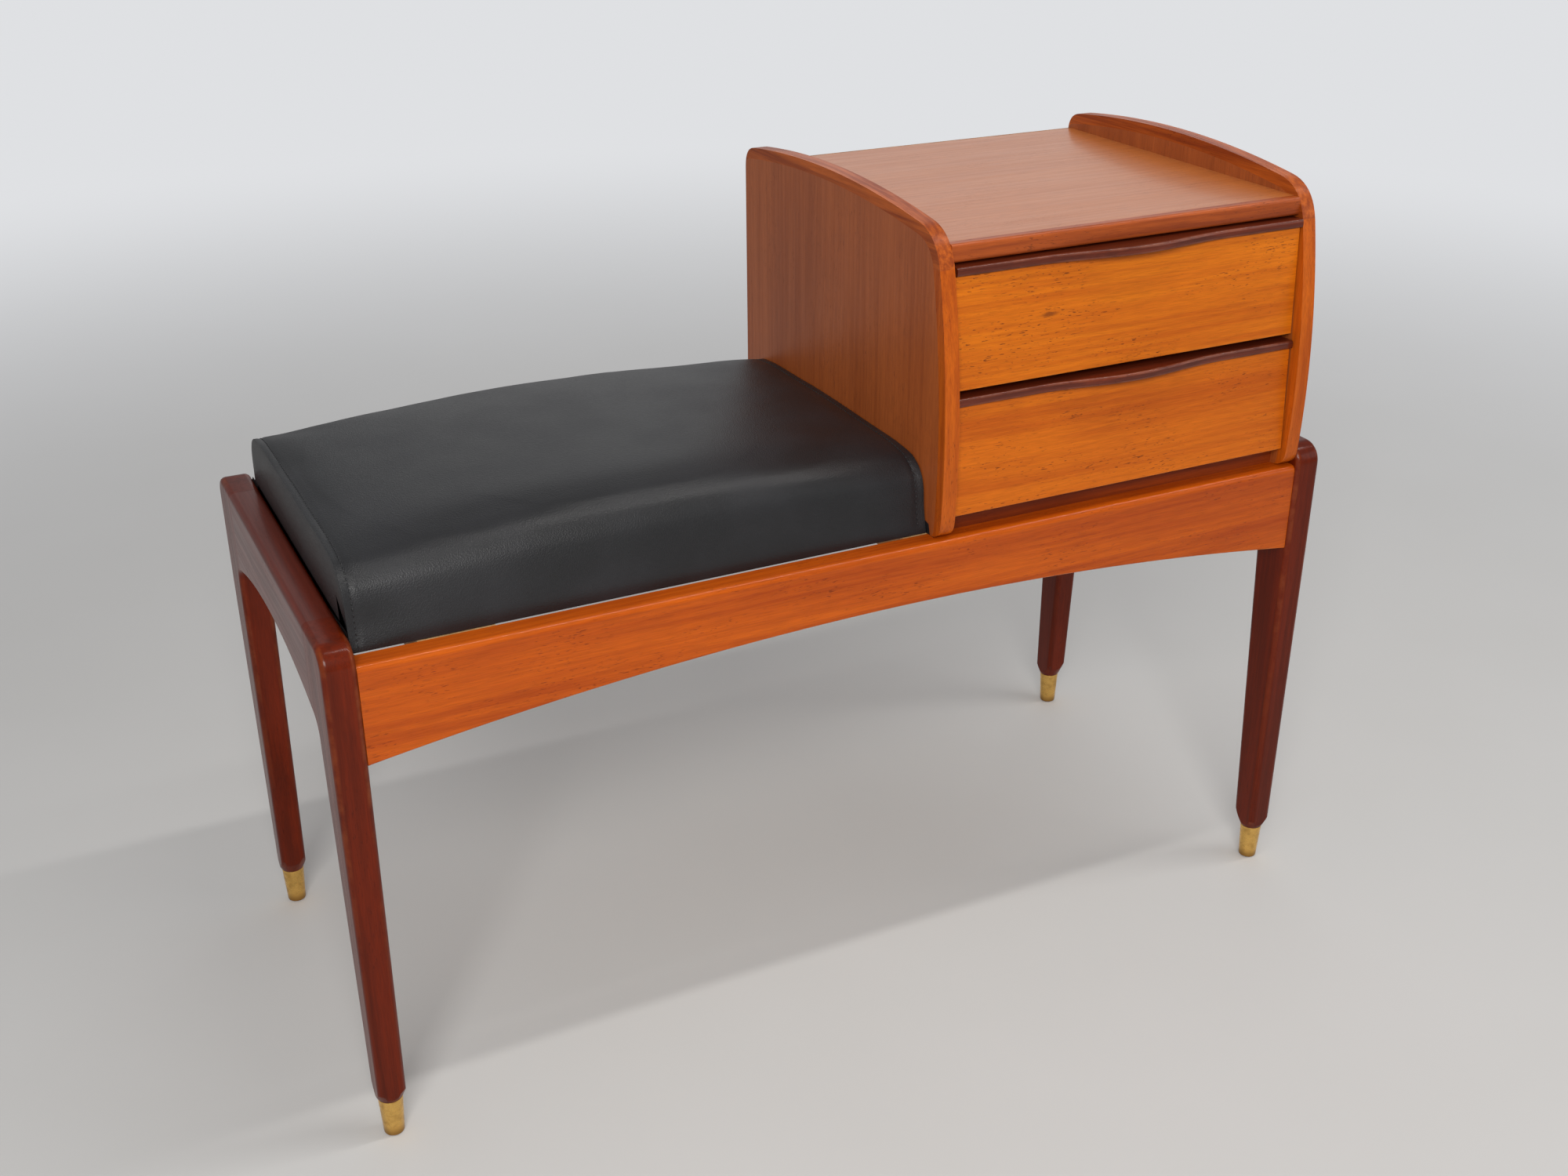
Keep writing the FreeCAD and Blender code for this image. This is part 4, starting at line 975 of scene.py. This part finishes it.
# Cabinet top
# A teak veneered board housed between the sides, its grain running across, with a solid lipping
# along the front edge rounded above and below.

TOP_LIP_ROUNDING = 3


def saw_like(node):
    """A square board as large as a CAD node, and the node's two corners in millimetres."""
    low, high = ([place / MM for place in corner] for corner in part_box(node))
    outline = [(low[1], low[2]), (high[1], low[2]), (high[1], high[2]), (low[1], high[2])]
    return saw(outline, "x", low[0], high[0]), low, high


top_teak = teak("teak veneer top", "x", (190, 112, 52), (166, 90, 38), WORN_ORANGE, figure=0.16,
                pores=0.35, roughness=0.36, gloss=0.45, coat=0.3, wear=0.2, shift=(0.6, 0.4, 0.0))
dress(top_teak, "cabinet_top")
board, lip_low, lip_high = saw_like("top_front_lipping")
ease(board, TOP_LIP_ROUNDING, lambda spot: spot.y < lip_low[1] + HAIR
     and lip_low[0] + 1 < spot.x < lip_high[0] - 1, segments=5)
top_lip = as_piece(board, "teak_top_front_lipping")
polish(top_lip)
fit(top_lip, "bench", teak("teak top front lipping", "x", (176, 84, 30), (128, 52, 18),
                           WORN_ORANGE, figure=0.45, pores=0.5, roughness=0.32,
                           wear=0.25, shift=(0.1, 0.5, 0.3)), "orange_teak", "top_front_lipping")


# Cabinet back and bottom
# A thin plywood back let in behind, and a plywood bottom with a dark teak rail in front of it
# that closes the gap under the lower drawer.

BOTTOM_RAIL_ROUNDING = 2.5

dress(plywood("back plywood", "z", 1, (190, 138, 92), (146, 96, 58), plies=3, thickness=4,
              base=172), "cabinet_back")
dress(plywood("bottom plywood", "x", 2, (216, 186, 140), (172, 130, 86)), "cabinet_bottom")
board, rail_low, rail_high = saw_like("cabinet_bottom_rail")
ease(board, BOTTOM_RAIL_ROUNDING, lambda spot: spot.y < rail_low[1] + HAIR
     and spot.z > rail_high[2] - HAIR, segments=4)
foot_rail = as_piece(board, "teak_bottom_rail")
polish(foot_rail)
fit(foot_rail, "bench", teak("stained teak bottom rail", "x", (138, 56, 16), (100, 36, 10),
                             WORN_DARK, figure=0.5, pores=0.4, roughness=0.36, gloss=0.2, wear=0.2),
    "dark_teak", "cabinet_bottom_rail")


# Drawers
# Two drawers with solid teak fronts that lean out towards the foot, pale hardwood sides grooved
# for the runners, and thin plywood bottoms. The fronts are cut from one bright orange board.

DRAWER_HALF = 173.3
DRAWER_MID_X = 242
FRONT_HEIGHT = 93.5
FRONT_THICKNESS = 15
FRONT_SLOPE = 0.055
FRONT_ROUNDING = 1.2
FACE_Y = -173
DRAWER_BASES = {"upper": (554.0, 0.0), "lower": (447.5, -5.8575)}
BOTTOM_HEIGHTS = {"upper": 564, "lower": 457.5}
KNOT = (160, 608)
BRIGHT_PALE = (216, 118, 16)
BRIGHT_DEEP = (176, 80, 6)

front_finishes = {
    "upper": teak("orange teak upper front", "x", BRIGHT_PALE, BRIGHT_DEEP, WORN_ORANGE,
                  figure=0.3, pores=0.85, roughness=0.36, gloss=0.22, wear=0.3,
                  shift=(0.05, 0.31, 0.17)),
    "lower": teak("orange teak lower front", "x", (208, 108, 14), (170, 74, 6), WORN_ORANGE,
                  figure=0.28, pores=0.8, roughness=0.36, gloss=0.22, wear=0.3,
                  shift=(0.45, 0.12, 0.52))}
tree = front_finishes["upper"].node_tree
shader = tree.nodes["Principled BSDF"]
grown = shader.inputs["Base Color"].links[0].from_socket
place = add(tree, "TexCoord").outputs["Object"]
ragged = add(tree, "VectorMath", {0: cloud(tree, place, scale=260, output="Color"),
                                  1: (0.004, 0.004, 0.004)}, operation="MULTIPLY").outputs[0]
near_knot = add(tree, "VectorMath", {0: place, 1: ragged}, operation="ADD").outputs[0]
from_knot = add(tree, "VectorMath", {0: near_knot, 1: (KNOT[0] * MM, 0, KNOT[1] * MM)},
                operation="SUBTRACT").outputs[0]
reach = add(tree, "VectorMath", {0: scaled(tree, from_knot, 90, 0, 420)},
            operation="LENGTH").outputs["Value"]
tree.links.new(tint(tree, step_up(tree, reach, 1.1, 0.2, 0.0, 0.75), grown, paint(104, 46, 10)),
               shader.inputs["Base Color"])
for level, (base, shift_y) in DRAWER_BASES.items():
    lean = FRONT_SLOPE * FRONT_HEIGHT
    face = FACE_Y + shift_y
    outline = [(face - lean, base), (face - lean + FRONT_THICKNESS, base),
               (face + FRONT_THICKNESS, base + FRONT_HEIGHT), (face, base + FRONT_HEIGHT)]
    board = saw(outline, "x", DRAWER_MID_X - DRAWER_HALF, DRAWER_MID_X + DRAWER_HALF)
    ease(board, FRONT_ROUNDING, lambda spot: spot.y < face + 1
         and spot.z < base + FRONT_HEIGHT - 1)
    front = as_piece(board, f"teak_{level}_drawer_front")
    polish(front)
    fit(front, f"{level}_drawer", front_finishes[level], "orange_teak", f"{level}_drawer_front")

drawer_beech = pale_wood("beech drawer sides", "y", (214, 178, 130), (182, 142, 96),
                         shift=(0.2, 0.1, 0.4))
back_beech = pale_wood("beech drawer backs", "x", (210, 174, 128), (178, 138, 94),
                       shift=(0.7, 0.1, 0.2))
runner_beech = pale_wood("beech runners", "y", (200, 160, 112), (166, 124, 80), roughness=0.5)
for level, base in BOTTOM_HEIGHTS.items():
    dress(drawer_beech, f"{level}_drawer_left_side", f"{level}_drawer_right_side")
    dress(back_beech, f"{level}_drawer_back")
    dress(runner_beech, f"{level}_left_runner", f"{level}_right_runner")
    dress(plywood(f"{level} drawer plywood", "x", 2, (220, 190, 146), (184, 146, 100), plies=3,
                  thickness=4, base=base), f"{level}_drawer_bottom")


# Drawer pulls
# A strip of dark hardwood glued along the top of each front, standing a little proud of it and
# swelling forward in the middle to give the fingers a hold underneath.

PULL_THICKNESS = 7.5
PULL_FRONT = -176
PULL_BACK = -158
PULL_SWELL = 9
PULL_SWELL_HALF = 95
PULL_ROUNDING = 2.4


def pull_edge(x):
    """The pull's front edge at a distance from its middle."""
    if abs(x) >= PULL_SWELL_HALF:
        return PULL_FRONT
    return PULL_FRONT - PULL_SWELL / 2 * (1 + math.cos(math.pi * x / PULL_SWELL_HALF))


pull_wood = teak("dark hardwood pulls", "x", (114, 44, 20), (76, 26, 11), (150, 86, 60), figure=0.5,
                 pores=0.4, roughness=0.3, gloss=0.25, coat=0.3, wear=0.4, shift=(0.3, 0.2, 0.7))
for level, (base, shift_y) in DRAWER_BASES.items():
    steps = 60
    plan = [(DRAWER_MID_X + DRAWER_HALF, PULL_BACK + shift_y),
            (DRAWER_MID_X - DRAWER_HALF, PULL_BACK + shift_y)]
    for step in range(steps + 1):
        x = DRAWER_HALF * (2 * step / steps - 1)
        plan.append((DRAWER_MID_X + x, pull_edge(x) + shift_y))
    board = saw(plan, "z", base + FRONT_HEIGHT, base + FRONT_HEIGHT + PULL_THICKNESS)
    ease(board, PULL_ROUNDING, lambda spot: spot.y < PULL_FRONT + shift_y + HAIR
         and abs(spot.x - DRAWER_MID_X) < DRAWER_HALF - HAIR, segments=4)
    pull = as_piece(board, f"{level}_drawer_pull_strip")
    polish(pull)
    fit(pull, f"{level}_drawer", pull_wood, "pull_wood", f"{level}_drawer_pull")


# Floor, lamps and camera
# A plain pale floor under soft studio lamps, with one long narrow lamp overhead for the lines of
# light along the arrises. The camera stands where the photograph was taken from.

CAMERA_PLACE = (-0.64704, -1.30995, 1.02146)
CAMERA_TURNS = (("Z", -26.44), ("X", 64.32), ("Z", -0.14))
CAMERA_LENS = 40.21

floor_mesh = bmesh.new()
bmesh.ops.create_circle(floor_mesh, cap_ends=True, radius=9, segments=96)
floor = as_piece(floor_mesh, "studio_floor")
floor.location.z = -0.0005
floor_paint, tree, shader = new_finish("pale floor")
place = add(tree, "TexCoord").outputs["Object"]
speckle = cloud(tree, place, scale=3, detail=3)
tree.links.new(tint(tree, speckle, paint(200, 199, 197), paint(206, 205, 204)),
               shader.inputs["Base Color"])
shader.inputs["Roughness"].default_value = 0.7
away = step_up(tree, add(tree, "VectorMath", {0: place}, operation="LENGTH").outputs["Value"],
               0.9, 3.6)
seen = add(tree, "LightPath").outputs["Is Camera Ray"]
glow = add(tree, "Emission", {"Color": (0.74, 0.75, 0.77, 1)})
ground = add(tree, "MixShader", {0: maths(tree, "MULTIPLY", away, seen), 1: shader.outputs[0],
                                 2: glow.outputs[0]})
tree.links.new(ground.outputs[0], tree.nodes["Material Output"].inputs[0])
floor.data.materials.append(floor_paint)


def lamp(name, place, aim, size, power, colour=(1, 1, 1)):
    light = bpy.data.lights.new(name, "AREA")
    light.shape = "RECTANGLE"
    light.size, light.size_y = size
    light.energy = power
    light.color = colour
    stand = bpy.data.objects.new(name, light)
    bpy.context.scene.collection.objects.link(stand)
    stand.location = place
    stand.rotation_euler = (Vector(aim) - Vector(place)).to_track_quat("-Z", "Y").to_euler()
    stand.visible_camera = False


lamp("key", (-1.2, -2.3, 1.9), (0, 0, 0.45), (1.3, 0.9), 60, (1.0, 0.985, 0.96))
lamp("fill", (2.6, -1.6, 1.4), (0.1, 0, 0.4), (1.6, 1.2), 8)
lamp("window", (1.35, 2.5, 1.75), (0, 0, 0.5), (3.0, 1.7), 8)
lamp("ceiling", (0.9, -0.5, 2.25), (0.9, 0, 0.45), (2.2, 0.07), 15, (1.0, 0.98, 0.95))

world = bpy.data.worlds.new("studio")
bpy.context.scene.world = world
world.use_nodes = True
tree = world.node_tree
tree.nodes.clear()
seen = add(tree, "LightPath").outputs["Is Camera Ray"]
sky = add(tree, "Background", {"Color": (0.86, 0.87, 0.89, 1),
                               "Strength": step_up(tree, seen, 0, 1, 0.42, 0.85)})
tree.links.new(sky.outputs[0], add(tree, "OutputWorld").inputs["Surface"])

camera_data = bpy.data.cameras.new("camera")
camera_data.sensor_width = 36
camera_data.lens = CAMERA_LENS
camera_data.clip_end = 50
camera = bpy.data.objects.new("camera", camera_data)
bpy.context.scene.collection.objects.link(camera)
camera.matrix_world = Matrix.Translation(CAMERA_PLACE)
for axis, degrees in CAMERA_TURNS:
    camera.matrix_world = camera.matrix_world @ Matrix.Rotation(math.radians(degrees), 4, axis)
bpy.context.scene.camera = camera
bpy.context.scene.view_settings.view_transform = "Standard"
